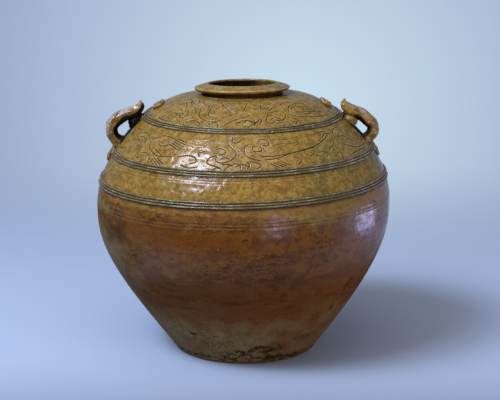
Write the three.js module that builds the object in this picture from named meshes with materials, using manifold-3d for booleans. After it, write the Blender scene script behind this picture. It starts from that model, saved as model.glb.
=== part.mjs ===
// Double-lug storage jar in ash-glazed stoneware, taken apart into the pieces that a potter lutes together.
// Units are millimetres and +Z is up. The origin is the middle of the flat foot, the front faces -Y and the
// lugs stand on the X axis. A thin slip joint separates each piece from the one that carries it.

import * as THREE from 'three';
import { mergeVertices } from 'three/addons/utils/BufferGeometryUtils.js';
import Module from 'manifold-3d';

const wasm = await Module();
wasm.setup();

// Wall of the jar: radii and heights of its outer face
const footRadius = 83.5;
const footFlare = 38.1; // degrees from upright
const footFlareReach = 152;
const bellyRadius = 175;
const bellyHeight = 182;
const bellyReachDown = 32;
const bellyReachUp = 61.4;
const neckSeatRadius = 67;
const neckSeatHeight = 308.2;
const neckSeatSlope = 2.6; // degrees
const neckSeatReach = 34.8;
const mouthRadius = 40;

// Thicknesses, joints and how round things are cut
const wallThickness = 8.5;
const baseThickness = 12;
const footChamfer = 1.2;
const slipJoint = 0.3;
const bellyJointDrop = 2; // below the belly
const bellyJointBevel = 4;
const roundSteps = 48;

// Neck and lip, thrown in one piece
const neckThickness = 6.8;
const neckHeight = 6.6; // from the shoulder at the mouth to the middle of the lip's edge
const lipRadius = 57.2;
const lipEdgeThickness = 4.8;
const lipCrestRise = 5.4; // from the lip's edge up to its crest
const lipCrestRounding = 1.5;

// Clay strips laid round the shoulder in three bands, and the fine lines scored beside them
const stripWidth = 2.5;
const stripRise = 1.9;
const stripPitch = 2.95;
const stripsPerBand = 3;
const upperBandShare = 0.812; // of the height from the belly to the neck
const middleBandShare = 0.488;
const lowerBandShare = 0.2345;
const linesAboveBelly = [5, 8.4];
const linesBelowMiddleBand = [7.2, 10];
const scoredLineDepth = 0.6;
const scoredLineWidth = 1.5;

// Ornament cut with a pointed stick in the two registers, between the middle band, the upper band and the neck
const cutDepth = 0.9;
const cutWidth = 1.8;
const cutStep = 6;

// Lugs: an arched strap that ends in an upturned snout, on the wall between the two upper bands
const lugFootAboveBand = 7;
const lugHeadBelowBand = 2.1;
const archRise = 18.8;
const strapWidth = 22;
const strapThickness = 13.6;
const snoutReach = 12;
const snoutLift = 14.8;
const chinLength = 17;
const chinWidth = 19;
const chinRise = 11;
const chinBelowHead = 5.2;

// Tail under each lug, and the roll of clay curled like ram's horns above it
const tailAboveBand = 8.4;
const tailBelowBand = 13.1;
const tailWidth = 16;
const tailRise = 4;
const hornAboveBand = 10.9;
const hornCurlRadius = 6.9;
const hornEyeRadius = 1.1;
const hornCurlTurns = 1.2;
const hornSpread = 9.6;
const hornRollDiameter = 4.1;

// How the jar settled in the kiln: it leans, its rings rise to the right and its mouth tips back, in degrees
const leanPerHeight = 0.0092;
const mouthTiltBackAngle = 2.8;
const lowerBandTiltAngle = 1.4;
const middleBandTiltAngle = 0.95;
const upperBandTiltAngle = 0.35;
const lipTiltAngle = 0.8;

const radians = THREE.MathUtils.degToRad;
const seatGrade = Math.tan(radians(neckSeatSlope));
const bellyJointHeight = bellyHeight - bellyJointDrop;
const shoulderHeight = neckSeatHeight - bellyHeight;
const upperBandHeight = bellyHeight + upperBandShare * shoulderHeight;
const middleBandHeight = bellyHeight + middleBandShare * shoulderHeight;
const lowerBandHeight = bellyHeight + lowerBandShare * shoulderHeight;
const lugFootHeight = middleBandHeight + lugFootAboveBand;
const lugHeadHeight = upperBandHeight - lugHeadBelowBand;
const lipEdgeHeight = seatHeightAt(mouthRadius) + neckHeight;
const lipCrestHeight = lipEdgeHeight + lipCrestRise;

const glaze = { color: 0x9a7838, roughness: 0.3, metalness: 0 };
const ridgeGlaze = { color: 0x7d6a3c, roughness: 0.35, metalness: 0 };
const bareClay = { color: 0x6b4022, roughness: 0.6, metalness: 0 };

// Height and tilt of the rings, from the foot to the lip
const ringTilts = [
  [0, 0],
  [lowerBandHeight, lowerBandTiltAngle],
  [middleBandHeight, middleBandTiltAngle],
  [upperBandHeight, upperBandTiltAngle],
  [lipEdgeHeight, lipTiltAngle],
];

// Height of the shoulder's even slope under the neck, at a radius
function seatHeightAt(radius) {
  return neckSeatHeight + (neckSeatRadius - radius) * seatGrade;
}

// Outer face of the wall as curves of (radius, height), from the foot to the mouth

function makeWallCurves() {
  const flare = radians(footFlare);
  const slope = radians(neckSeatSlope);
  const foot = new THREE.Vector2(footRadius, 0);
  const belly = new THREE.Vector2(bellyRadius, bellyHeight);
  const seat = new THREE.Vector2(neckSeatRadius, neckSeatHeight);
  const mouth = new THREE.Vector2(mouthRadius, seatHeightAt(mouthRadius));
  return [
    new THREE.CubicBezierCurve(
      foot,
      new THREE.Vector2(footRadius + footFlareReach * Math.sin(flare), footFlareReach * Math.cos(flare)),
      new THREE.Vector2(bellyRadius, bellyHeight - bellyReachDown),
      belly,
    ),
    new THREE.CubicBezierCurve(
      belly,
      new THREE.Vector2(bellyRadius, bellyHeight + bellyReachUp),
      new THREE.Vector2(
        neckSeatRadius + neckSeatReach * Math.cos(slope),
        neckSeatHeight - neckSeatReach * Math.sin(slope),
      ),
      seat,
    ),
    new THREE.LineCurve(seat, mouth),
  ];
}

const wallCurves = makeWallCurves();

// A point of the wall at parameter u, moved inwards by the inset, and the direction of the wall there
function wallPoint(u, inset = 0) {
  const index = Math.min(Math.floor(u), wallCurves.length - 1);
  const point = wallCurves[index].getPoint(u - index);
  const along = wallDirection(u);
  return new THREE.Vector2(point.x - along.y * inset, point.y + along.x * inset);
}

function wallDirection(u) {
  const index = Math.min(Math.floor(u), wallCurves.length - 1);
  return wallCurves[index].getTangent(u - index);
}

// The parameter at which the wall, moved inwards by the inset, reaches a height
function wallAt(height, inset = 0) {
  let low = 0;
  let high = wallCurves.length;
  for (let step = 0; step < 40; step += 1) {
    const middle = (low + high) / 2;
    if (wallPoint(middle, inset).y < height) {
      low = middle;
    } else {
      high = middle;
    }
  }
  return (low + high) / 2;
}

// Even steps of the wall between two parameters
function wallRun(from, to, steps, inset = 0) {
  const points = [];
  for (let step = 0; step <= steps; step += 1) {
    points.push(wallPoint(THREE.MathUtils.lerp(from, to, step / steps), inset));
  }
  return points;
}

// The same run between two heights, with a small V cut for each scored line
function scoredRun(fromHeight, toHeight, steps) {
  const from = wallAt(fromHeight);
  const to = wallAt(toHeight);
  const heights = [
    ...linesAboveBelly.map((rise) => bellyHeight + rise),
    ...linesBelowMiddleBand.map((drop) => middleBandHeight - drop),
  ];
  const cuts = heights.map((height) => ({
    start: wallAt(height - scoredLineWidth / 2),
    middle: wallAt(height),
    end: wallAt(height + scoredLineWidth / 2),
  }));
  const stations = [];
  for (let step = 0; step <= steps; step += 1) {
    const u = THREE.MathUtils.lerp(from, to, step / steps);
    if (!cuts.some((cut) => u >= cut.start && u <= cut.end)) {
      stations.push({ u, inset: 0 });
    }
  }
  for (const cut of cuts) {
    stations.push({ u: cut.start, inset: 0 });
    stations.push({ u: cut.middle, inset: scoredLineDepth });
    stations.push({ u: cut.end, inset: 0 });
  }
  stations.sort((a, b) => a.u - b.u);
  return stations.map(({ u, inset }) => wallPoint(u, inset));
}

// Solids

function joined(geometry) {
  const bare = geometry.clone();
  bare.deleteAttribute('normal');
  bare.deleteAttribute('uv');
  return mergeVertices(bare, 1e-4);
}

function toSolid(geometry) {
  const merged = joined(geometry);
  return new wasm.Manifold(
    new wasm.Mesh({
      numProp: 3,
      vertProperties: new Float32Array(merged.attributes.position.array),
      triVerts: new Uint32Array(merged.index.array),
    }),
  );
}

function fromSolid(solid) {
  const mesh = solid.getMesh();
  const geometry = new THREE.BufferGeometry();
  geometry.setAttribute('position', new THREE.BufferAttribute(new Float32Array(mesh.vertProperties), 3));
  geometry.setIndex(new THREE.BufferAttribute(new Uint32Array(mesh.triVerts), 1));
  return geometry;
}

// A ring or disc turned about the jar's axis from points of (radius, height), outer face upwards first
function turned(points) {
  const geometry = new THREE.LatheGeometry(points, roundSteps);
  geometry.rotateX(Math.PI / 2);
  return geometry;
}

function turnedRing(points) {
  return turned([...points, points[0]]);
}

// A closed skin over rings that have the same number of points, with a fan over each end
function loft(rings) {
  const count = rings[0].length;
  const positions = [];
  const indices = [];
  for (const ring of rings) {
    for (const point of ring) {
      positions.push(point.x, point.y, point.z);
    }
  }
  for (let row = 0; row < rings.length - 1; row += 1) {
    for (let side = 0; side < count; side += 1) {
      const a = row * count + side;
      const b = row * count + ((side + 1) % count);
      indices.push(a, b, b + count, a, b + count, a + count);
    }
  }
  const last = (rings.length - 1) * count;
  for (let side = 1; side < count - 1; side += 1) {
    indices.push(0, side + 1, side);
    indices.push(last, last + side, last + side + 1);
  }
  const geometry = new THREE.BufferGeometry();
  geometry.setAttribute('position', new THREE.BufferAttribute(new Float32Array(positions), 3));
  geometry.setIndex(indices);
  return geometry;
}

// An oval section with softened corners, across a strap
function ovalSection(centre, across, outward, width, thickness, sides) {
  const squareness = 0.8;
  const ring = [];
  for (let side = 0; side < sides; side += 1) {
    const angle = ((side + 0.5) / sides) * 2 * Math.PI;
    const c = Math.sign(Math.cos(angle)) * Math.abs(Math.cos(angle)) ** squareness;
    const s = Math.sign(Math.sin(angle)) * Math.abs(Math.sin(angle)) ** squareness;
    ring.push(
      centre
        .clone()
        .addScaledVector(across, (c * width) / 2)
        .addScaledVector(outward, (s * thickness) / 2),
    );
  }
  return ring;
}

// Moves every point as the jar settled in the kiln
function ringTiltAt(height) {
  for (let index = 1; index < ringTilts.length; index += 1) {
    const [low, lowTilt] = ringTilts[index - 1];
    const [high, highTilt] = ringTilts[index];
    if (height <= high) {
      return THREE.MathUtils.lerp(lowTilt, highTilt, THREE.MathUtils.smoothstep(height, low, high));
    }
  }
  return ringTilts[ringTilts.length - 1][1];
}

function settled(geometry) {
  const position = geometry.attributes.position;
  for (let index = 0; index < position.count; index += 1) {
    const x = position.getX(index);
    const y = position.getY(index);
    const z = position.getZ(index);
    const riseRight = Math.tan(radians(ringTiltAt(z)));
    const tiltBack = mouthTiltBackAngle * THREE.MathUtils.smoothstep(z, upperBandHeight, lipEdgeHeight);
    const riseFront = Math.tan(radians(tiltBack));
    position.setXYZ(index, x - leanPerHeight * z, y, z + riseRight * x - riseFront * y);
  }
  geometry.computeVertexNormals();
  return geometry;
}

function piece(name, geometry, finish) {
  const mesh = new THREE.Mesh(settled(geometry), new THREE.MeshStandardMaterial(finish));
  mesh.name = name;
  return mesh;
}

// Walls

function baseSlab() {
  const outer = wallRun(wallAt(footChamfer), wallAt(baseThickness), 1);
  return turned([
    new THREE.Vector2(0, 0),
    new THREE.Vector2(footRadius - footChamfer, 0),
    ...outer,
    new THREE.Vector2(0, baseThickness),
  ]);
}

function lowerWall() {
  const bottom = baseThickness + slipJoint;
  const innerTop = bellyJointHeight + bellyJointBevel;
  const outer = wallRun(wallAt(bottom), wallAt(bellyJointHeight - slipJoint), 9);
  const inner = wallRun(wallAt(innerTop - slipJoint, wallThickness), wallAt(bottom, wallThickness), 6, wallThickness);
  return turnedRing([...outer, ...inner]);
}

// Ornament of curls and stems. A curl is [azimuth in degrees and share of the register's height at its centre, radius
// at its start and end in shares of that height, angle where it starts, degrees that it turns, flattening]. A stem is
// [azimuth and share at one end, at the other, bow in shares]. Each set stands on the front and again on the back
const middleRegister = {
  curls: [
    [-42, 0.56, 0.5, 0.5, 150, 140, 0.62],
    [-42, 0.62, 0.33, 0.27, 160, -240, 0.5],
    [7, 0.52, 0.29, 0.27, 140, 150, 1],
    [7, 0.58, 0.12, 0.06, 60, -330, 1],
    [-8, 0.46, 0.25, 0.25, 75, -230, 1],
    [67, 0.58, 0.56, 0.56, 160, 110, 0.74],
    [-63, 0.46, 0.46, 0.46, 175, -215, 0.68],
  ],
  stems: [
    [6, 0.48, 50, 0.77, -0.2],
    [-36, 0.72, -29, 0.56, 0],
  ],
};
const upperRegister = {
  curls: [
    [-22, 0.42, 0.26, 0.29, 150, 165, 0.85],
    [-43, 0.33, 0.15, 0.08, 75, -330, 1],
    [-43, 0.4, 0.28, 0.24, 100, -130, 1],
    [24, 0.34, 0.16, 0.21, 130, -220, 1],
    [18, 0.24, 0.14, 0.07, 110, 300, 1],
    [47, 0.42, 0.42, 0.42, 60, 200, 0.55],
  ],
  stems: [
    [-15, 0.06, 18, 0.52, 0.12],
  ],
};

// A point of the wall at an azimuth from the front and a slope distance above a parameter, lifted square to the wall
function spotOnWall(azimuth, u, upSlope, round, lift) {
  const along = wallDirection(u);
  const seat = wallPoint(wallAt(wallPoint(u).y + upSlope * along.y));
  const out = new THREE.Vector2(along.y, -along.x);
  const angle = azimuth + round / seat.x;
  const radius = seat.x + out.x * lift;
  return new THREE.Vector3(radius * Math.sin(angle), -radius * Math.cos(angle), seat.y + out.y * lift);
}

// The lines of a register between two heights, each as a row of [azimuth, parameter, up the slope, round] places
function registerLines(register, lowHeight, highHeight) {
  const low = wallAt(lowHeight);
  const high = wallAt(highHeight);
  const tall = wallPoint(high).distanceTo(wallPoint(low));
  const at = (share) => THREE.MathUtils.lerp(low, high, share);
  const lines = register.curls.map(([azimuth, share, from, to, start, turn, flat]) => {
    const length = ((Math.abs(radians(turn)) * (from + to)) / 2) * tall;
    const steps = Math.max(3, Math.round(length / cutStep));
    return Array.from({ length: steps + 1 }, (_, step) => {
      const angle = radians(start + (turn * step) / steps);
      const radius = THREE.MathUtils.lerp(from, to, step / steps) * tall;
      return [radians(azimuth), at(share), flat * radius * Math.sin(angle), radius * Math.cos(angle)];
    });
  });
  for (const [azimuthFrom, shareFrom, azimuthTo, shareTo, bow] of register.stems) {
    const length = Math.abs(radians(azimuthTo - azimuthFrom)) * wallPoint(low).x;
    const steps = Math.max(1, Math.round(length / (2 * cutStep)));
    lines.push(
      Array.from({ length: steps + 1 }, (_, step) => {
        const t = step / steps;
        const share = THREE.MathUtils.lerp(shareFrom, shareTo, t) + bow * 4 * t * (1 - t);
        return [radians(THREE.MathUtils.lerp(azimuthFrom, azimuthTo, t)), at(share), 0, 0];
      }),
    );
  }
  return lines;
}

// Wedges that cut the lines of both registers, point inwards
function ornamentWedges() {
  const bandEdge = stripPitch + stripWidth / 2;
  const middle = [middleBandHeight + bandEdge, upperBandHeight - bandEdge];
  const upper = [upperBandHeight + bandEdge, neckSeatHeight];
  const lines = [...registerLines(middleRegister, ...middle), ...registerLines(upperRegister, ...upper)];
  const clear = cutDepth;
  const half = (cutWidth / 2) * ((cutDepth + clear) / cutDepth);
  const wedges = [];
  for (const turn of [0, Math.PI]) {
    for (const line of lines) {
      const place = ([azimuth, u, up, round], lift) => spotOnWall(azimuth + turn, u, up, round, lift);
      const tips = line.map((spot) => place(spot, -cutDepth));
      const tops = line.map((spot) => place(spot, clear));
      const rings = tips.map((tip, index) => {
        const before = tips[Math.max(index - 1, 0)];
        const after = tips[Math.min(index + 1, tips.length - 1)];
        const outward = tops[index].clone().sub(tip).normalize();
        const across = after.clone().sub(before).cross(outward).normalize();
        return [
          tip,
          tops[index].clone().addScaledVector(across, half),
          tops[index].clone().addScaledVector(across, -half),
        ];
      });
      for (let index = 1; index < rings.length; index += 1) {
        const points = [...rings[index - 1], ...rings[index]].map((point) => point.toArray());
        wedges.push(wasm.Manifold.hull(points));
      }
    }
  }
  return wasm.Manifold.union(wedges);
}

function shoulderWall() {
  const mouth = wallCurves.length;
  const innerTop = bellyJointHeight + bellyJointBevel;
  const outer = scoredRun(bellyJointHeight, neckSeatHeight, 12);
  const outerMouth = wallPoint(mouth);
  const innerMouth = new THREE.Vector2(mouthRadius, outerMouth.y - wallThickness);
  const inner = wallRun(2, wallAt(innerTop, wallThickness), 7, wallThickness);
  const wall = toSolid(turnedRing([...outer, outerMouth, innerMouth, ...inner]));
  return fromSolid(wall.subtract(ornamentWedges()));
}

function neckAndLip() {
  const neckRadius = mouthRadius + neckThickness;
  const seatAt = (radius) => seatHeightAt(radius) + slipJoint;
  const halfEdge = lipEdgeThickness / 2;
  return turnedRing([
    new THREE.Vector2(mouthRadius, seatAt(mouthRadius)),
    new THREE.Vector2(neckRadius, seatAt(neckRadius)),
    new THREE.Vector2(neckRadius + 0.4, lipEdgeHeight - halfEdge - 0.2),
    new THREE.Vector2(lipRadius - halfEdge, lipEdgeHeight - halfEdge),
    new THREE.Vector2(lipRadius - 0.7, lipEdgeHeight - 0.7 * halfEdge),
    new THREE.Vector2(lipRadius, lipEdgeHeight),
    new THREE.Vector2(lipRadius - 0.5, lipEdgeHeight + 0.6 * halfEdge),
    new THREE.Vector2(lipRadius - halfEdge, lipEdgeHeight + halfEdge),
    new THREE.Vector2(mouthRadius + 2.4 * lipCrestRounding, lipCrestHeight - 0.5),
    new THREE.Vector2(mouthRadius + lipCrestRounding, lipCrestHeight),
    new THREE.Vector2(mouthRadius + 0.3, lipCrestHeight - 0.6),
    new THREE.Vector2(mouthRadius, lipCrestHeight - lipCrestRounding),
  ]);
}

// Bands of clay strips

function stripStations(bandHeight) {
  const middle = wallAt(bandHeight);
  const centre = wallPoint(middle);
  const along = wallDirection(middle);
  const stations = [];
  for (let index = 0; index < stripsPerBand; index += 1) {
    const offset = (index - (stripsPerBand - 1) / 2) * stripPitch;
    stations.push(wallAt(centre.y + offset * along.y));
  }
  return stations;
}

// The section of one strip, pressed on the wall, grown all round by the extra
function stripSection(u, extra = 0) {
  const along = wallDirection(u);
  const out = new THREE.Vector2(along.y, -along.x);
  const seat = wallPoint(u);
  const half = stripWidth / 2 + extra;
  const top = stripRise + extra;
  const bottom = slipJoint - extra;
  const corner = (s, rise) => seat.clone().addScaledVector(along, s).addScaledVector(out, rise);
  return [corner(-half, bottom), corner(-0.48 * half, top), corner(0.48 * half, top), corner(half, bottom)];
}

const bands = [
  ['upper', upperBandHeight],
  ['middle', middleBandHeight],
  ['lower', lowerBandHeight],
];

function bandPieces() {
  const group = new THREE.Group();
  for (const [name, height] of bands) {
    stripStations(height).forEach((u, index) => {
      group.add(piece(`${name}_band_strip_${index + 1}`, turnedRing(stripSection(u)), ridgeGlaze));
    });
  }
  return group;
}

// Everything that an applied piece has to stay clear of: the wall and the strips, grown by the slip joint
function wallForm() {
  const outer = wallRun(wallAt(lowerBandHeight), wallAt(neckSeatHeight), 24, -slipJoint);
  const low = outer[0].y;
  const high = outer[outer.length - 1].y;
  let form = toSolid(turned([new THREE.Vector2(0, low), ...outer, new THREE.Vector2(0, high)]));
  for (const [, height] of bands.slice(0, 2)) {
    for (const u of stripStations(height)) {
      form = form.add(toSolid(turnedRing(stripSection(u, slipJoint))));
    }
  }
  return form;
}

// Lugs, made on +X. The left one is the same form turned half a turn

const acrossLug = new THREE.Vector3(0, 1, 0);

function onLugPlane(point) {
  return new THREE.Vector3(point.x, 0, point.y);
}

// Path of the strap in the lug's plane: along the chord from foot to head, and out from it
function strapPath() {
  const foot = wallPoint(wallAt(lugFootHeight));
  const head = wallPoint(wallAt(lugHeadHeight));
  const chord = head.clone().sub(foot);
  const span = chord.length();
  const along = chord.normalize();
  const out = new THREE.Vector2(along.y, -along.x);
  const shape = [
    [0.07 * span, -0.3 * archRise],
    [0.055 * span, 0.15 * archRise],
    [0.065 * span, 0.5 * archRise],
    [0.125 * span, 0.77 * archRise],
    [0.24 * span, 0.94 * archRise],
    [0.39 * span, 0.985 * archRise],
    [0.56 * span, 0.945 * archRise],
    [0.73 * span, 0.845 * archRise],
    [0.88 * span, 0.745 * archRise],
    [span, 0.63 * archRise],
    [span + 0.45 * snoutReach, 0.56 * archRise],
    [span + 0.8 * snoutReach, 0.64 * archRise],
    [span + snoutReach, snoutLift],
  ];
  return new THREE.CatmullRomCurve3(
    shape.map(([a, o]) => onLugPlane(foot.clone().addScaledVector(along, a).addScaledVector(out, o))),
  );
}

// Width and thickness of the strap as shares of their full size, from foot to snout
const strapTaper = [
  [0, 0.74, 1],
  [0.12, 0.78, 1],
  [0.3, 0.93, 1.06],
  [0.45, 1, 1.04],
  [0.6, 1, 0.97],
  [0.75, 0.98, 0.9],
  [0.87, 0.9, 0.73],
  [0.94, 0.66, 0.42],
  [1, 0.38, 0.18],
];

function taperAt(share) {
  for (let index = 1; index < strapTaper.length; index += 1) {
    const [from, widthFrom, thickFrom] = strapTaper[index - 1];
    const [to, widthTo, thickTo] = strapTaper[index];
    if (share <= to) {
      const t = (share - from) / (to - from);
      return [THREE.MathUtils.lerp(widthFrom, widthTo, t), THREE.MathUtils.lerp(thickFrom, thickTo, t)];
    }
  }
  return strapTaper[strapTaper.length - 1].slice(1);
}

function strapSolid(extra = 0) {
  const path = strapPath();
  const steps = 20;
  const rings = [];
  for (let step = 0; step <= steps; step += 1) {
    const share = step / steps;
    const direction = path.getTangentAt(share);
    const outward = new THREE.Vector3().crossVectors(acrossLug, direction).normalize();
    const [widthShare, thicknessShare] = taperAt(share);
    rings.push(
      ovalSection(
        path.getPointAt(share),
        acrossLug,
        outward,
        strapWidth * widthShare + 2 * extra,
        strapThickness * thicknessShare + 2 * extra,
        10,
      ),
    );
  }
  return toSolid(loft(rings.reverse()));
}

// Lump of clay that lutes the head of the strap to the wall
function chinSolid() {
  const u = wallAt(lugHeadHeight - chinBelowHead);
  const along = wallDirection(u);
  const ball = new THREE.SphereGeometry(1, 14, 8);
  ball.scale(chinLength / 2, chinWidth / 2, chinRise);
  ball.rotateY(Math.atan2(along.x, along.y) - Math.PI / 2);
  const seat = onLugPlane(wallPoint(u));
  ball.translate(seat.x, seat.y, seat.z);
  return toSolid(ball);
}

// Leaf that runs down from the foot of the strap, over the middle band
function tailSolid() {
  const taper = [
    [0, 0.8, 0.8],
    [0.25, 1, 0.95],
    [0.55, 0.94, 1],
    [0.8, 0.78, 0.86],
    [0.93, 0.6, 0.66],
    [1, 0.36, 0.45],
  ];
  const top = wallAt(middleBandHeight + tailAboveBand);
  const end = wallAt(middleBandHeight - tailBelowBand);
  const rings = taper.map(([share, widthShare, riseShare]) => {
    const u = THREE.MathUtils.lerp(top, end, share);
    const along = wallDirection(u);
    const outward = onLugPlane(new THREE.Vector2(along.y, -along.x));
    return ovalSection(
      onLugPlane(wallPoint(u)),
      acrossLug,
      outward,
      tailWidth * widthShare,
      2 * tailRise * riseShare,
      12,
    );
  });
  return toSolid(loft(rings));
}

// A place on the wall: a distance up the slope and a distance round from the lug's plane
function placeOnWall(height, upSlope, round, rise) {
  const u = wallAt(height);
  const along = wallDirection(u);
  const point = wallPoint(wallAt(wallPoint(u).y + upSlope * along.y));
  const out = new THREE.Vector2(along.y, -along.x);
  const radius = point.x + out.x * rise;
  const angle = round / point.x;
  return new THREE.Vector3(radius * Math.cos(angle), radius * Math.sin(angle), point.y + out.y * rise);
}

// One roll curled in at both ends, like a ram's horns: each curl is a spiral whose radius falls evenly with angle
function hornSolid() {
  const path = [];
  const steps = 13;
  const curl = (side) => {
    const points = [];
    for (let step = 0; step <= steps; step += 1) {
      const share = step / steps;
      const radius = THREE.MathUtils.lerp(hornEyeRadius, hornCurlRadius, share);
      const angle = Math.PI / 2 + side * (1 - share) * hornCurlTurns * 2 * Math.PI;
      points.push([radius * Math.sin(angle), side * -hornSpread + radius * Math.cos(angle)]);
    }
    return points;
  };
  path.push(...curl(1), ...curl(-1).reverse());
  const height = upperBandHeight + hornAboveBand;
  const rise = 0.16 * hornRollDiameter;
  const centres = path.map(([up, round]) => placeOnWall(height, up, round, rise));
  const above = path.map(([up, round]) => placeOnWall(height, up, round, 2 * rise));
  const rings = centres.map((centre, index) => {
    const before = centres[Math.max(index - 1, 0)];
    const after = centres[Math.min(index + 1, centres.length - 1)];
    const direction = after.clone().sub(before).normalize();
    const outward = above[index].clone().sub(centre).normalize();
    const across = new THREE.Vector3().crossVectors(outward, direction).normalize();
    return ovalSection(centre, across, outward, hornRollDiameter, hornRollDiameter, 8);
  });
  return toSolid(loft(rings));
}

function lug(side, form) {
  const turn = side === 'right' ? 0 : Math.PI;
  const strap = strapSolid();
  const grownStrap = strapSolid(slipJoint);
  const parts = [
    ['handle', strap.subtract(form), glaze],
    ['chin', chinSolid().subtract(form).subtract(grownStrap), glaze],
    ['tail', tailSolid().subtract(form).subtract(grownStrap), bareClay],
    ['horns', hornSolid().subtract(form), glaze],
  ];
  const group = new THREE.Group();
  for (const [name, solid, finish] of parts) {
    const geometry = fromSolid(solid);
    geometry.rotateZ(turn);
    group.add(piece(`${side}_lug_${name}`, geometry, finish));
  }
  return group;
}

const jar = new THREE.Group();
jar.add(piece('base_slab', baseSlab(), bareClay));
jar.add(piece('lower_wall', lowerWall(), bareClay));
jar.add(piece('shoulder_wall', shoulderWall(), glaze));
jar.add(piece('neck_and_lip', neckAndLip(), glaze));
jar.add(bandPieces());
const form = wallForm();
jar.add(lug('right', form));
jar.add(lug('left', form));

export default jar;
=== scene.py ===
"""Double-lug storage jar in ash-glazed stoneware: its dressed surfaces, the floor, the lamps and the camera.

Lengths are millimetres unless a name says metres. +Z is up, the jar faces -Y and its lugs stand on the X
axis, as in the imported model. A place on the wall is an azimuth, from the front round towards +X, and a slope
distance, measured up the outer face from the foot.
"""

from __future__ import annotations

import logging
import math
from dataclasses import dataclass, field
from enum import Enum

import bpy
import numpy as np
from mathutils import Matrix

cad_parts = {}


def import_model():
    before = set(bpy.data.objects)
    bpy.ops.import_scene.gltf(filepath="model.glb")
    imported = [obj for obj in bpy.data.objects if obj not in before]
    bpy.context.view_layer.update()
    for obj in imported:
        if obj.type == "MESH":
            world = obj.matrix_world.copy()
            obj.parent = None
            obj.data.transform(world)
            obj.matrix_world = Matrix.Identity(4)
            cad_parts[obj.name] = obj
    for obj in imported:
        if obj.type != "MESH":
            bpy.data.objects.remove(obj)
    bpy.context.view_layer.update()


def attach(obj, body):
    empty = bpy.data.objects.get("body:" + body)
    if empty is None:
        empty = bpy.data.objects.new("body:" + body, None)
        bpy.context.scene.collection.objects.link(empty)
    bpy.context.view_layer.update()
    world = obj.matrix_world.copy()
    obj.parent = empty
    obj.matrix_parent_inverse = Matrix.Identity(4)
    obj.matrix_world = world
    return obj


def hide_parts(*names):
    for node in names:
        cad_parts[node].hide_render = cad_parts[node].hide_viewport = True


METRES = 0.001
TURN = 2 * math.pi
ACROSS = np.array([0, 1, 0])
CREASE = math.radians(50)
SPAN_SAMPLES = 24
log = logging.getLogger("double_lug_jar")

Knots = tuple[tuple[float, float], ...]
Channels = dict[str, np.ndarray]


# Numbers and curves


def linear(colour: str) -> tuple[float, float, float, float]:
    """Turns an sRGB hex colour into the linear colour that a shader reads.

    Args:
        colour: Six hex digits after a hash.

    Returns:
        Red, green, blue and an alpha of one.
    """
    parts = [int(colour[place : place + 2], 16) / 255 for place in (1, 3, 5)]
    flat = [part / 12.92 if part <= 0.04045 else ((part + 0.055) / 1.055) ** 2.4 for part in parts]
    return (flat[0], flat[1], flat[2], 1.0)


def ease(value: np.ndarray, low: float, high: float) -> np.ndarray:
    """Smooth step from 0 at low to 1 at high: 3t^2 - 2t^3. It falls where low is above high."""
    share = np.clip((value - low) / (high - low), 0, 1)
    return share * share * (3 - 2 * share)


def bump_at(value: np.ndarray, centre: float, width: float) -> np.ndarray:
    """Bell curve exp(-(distance / width)^2) about a centre."""
    return np.exp(-(((value - centre) / width) ** 2))


def ripple(points: np.ndarray, wavelength: float, seed: int, waves: int = 16) -> np.ndarray:
    """Soft noise: the sum of sine waves of nearly one length, in seeded directions.

    Args:
        points: Points in the last axis.
        wavelength: Middle length of the waves.
        seed: Seed of their directions and phases.
        waves: How many there are.

    Returns:
        Numbers mostly between -1 and 1, one for each point.
    """
    source = np.random.default_rng(seed)
    direction = source.normal(size=(points.shape[-1], waves))
    direction /= np.linalg.norm(direction, axis=0)
    length = wavelength * source.uniform(0.7, 1.5, waves)
    phase = source.uniform(0, TURN, waves)
    return np.sin(points @ (direction / length) * TURN + phase).sum(axis=-1) / math.sqrt(2 * waves)


def smooth_path(knots: np.ndarray, spacing: float) -> np.ndarray:
    """Centripetal Catmull-Rom curve through knots, sampled evenly along its length.

    Args:
        knots: Rows of coordinates.
        spacing: Distance between samples.

    Returns:
        Rows of coordinates on the curve, both ends among them.
    """
    knots = np.asarray(knots, dtype=float)
    knots = np.vstack([2 * knots[0] - knots[1], knots, 2 * knots[-1] - knots[-2]])
    share = np.linspace(0, 1, SPAN_SAMPLES, endpoint=False)[:, None]
    pieces = []
    for p0, p1, p2, p3 in zip(knots, knots[1:], knots[2:], knots[3:]):
        chords = [float(np.linalg.norm(chord)) for chord in (p1 - p0, p2 - p1, p3 - p2)]
        t1, gap, after = (math.sqrt(max(chord, 1e-6)) for chord in chords)
        t2 = t1 + gap
        t3 = t2 + after
        t = t1 + share * gap
        first = p0 + (p1 - p0) * t / t1
        middle = p1 + (p2 - p1) * (t - t1) / gap
        last = p2 + (p3 - p2) * (t - t2) / after
        left = first + (middle - first) * t / t2
        right = middle + (last - middle) * (t - t1) / (t3 - t1)
        pieces.append(left + (right - left) * (t - t1) / gap)
    curve = np.vstack([*pieces, knots[-2][None]])
    walked = np.concatenate([[0], np.cumsum(np.linalg.norm(np.diff(curve, axis=0), axis=1))])
    stations = np.linspace(0, walked[-1], max(int(walked[-1] / spacing) + 1, 2))
    return np.stack([np.interp(stations, walked, column) for column in curve.T], axis=-1)


def tapers(share: np.ndarray, rows: tuple[tuple[float, float, float], ...]) -> list[np.ndarray]:
    """Width and thickness factors along a piece, from a curve through rows of share, width and thickness."""
    curve = smooth_path(np.array(rows), 0.01)
    return [np.interp(share, curve[:, 0], factors) for factors in curve.T[1:]]


def unit(vectors: np.ndarray) -> np.ndarray:
    """Vectors of the last axis, brought to a length of one."""
    return vectors / np.linalg.norm(vectors, axis=-1, keepdims=True)


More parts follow.
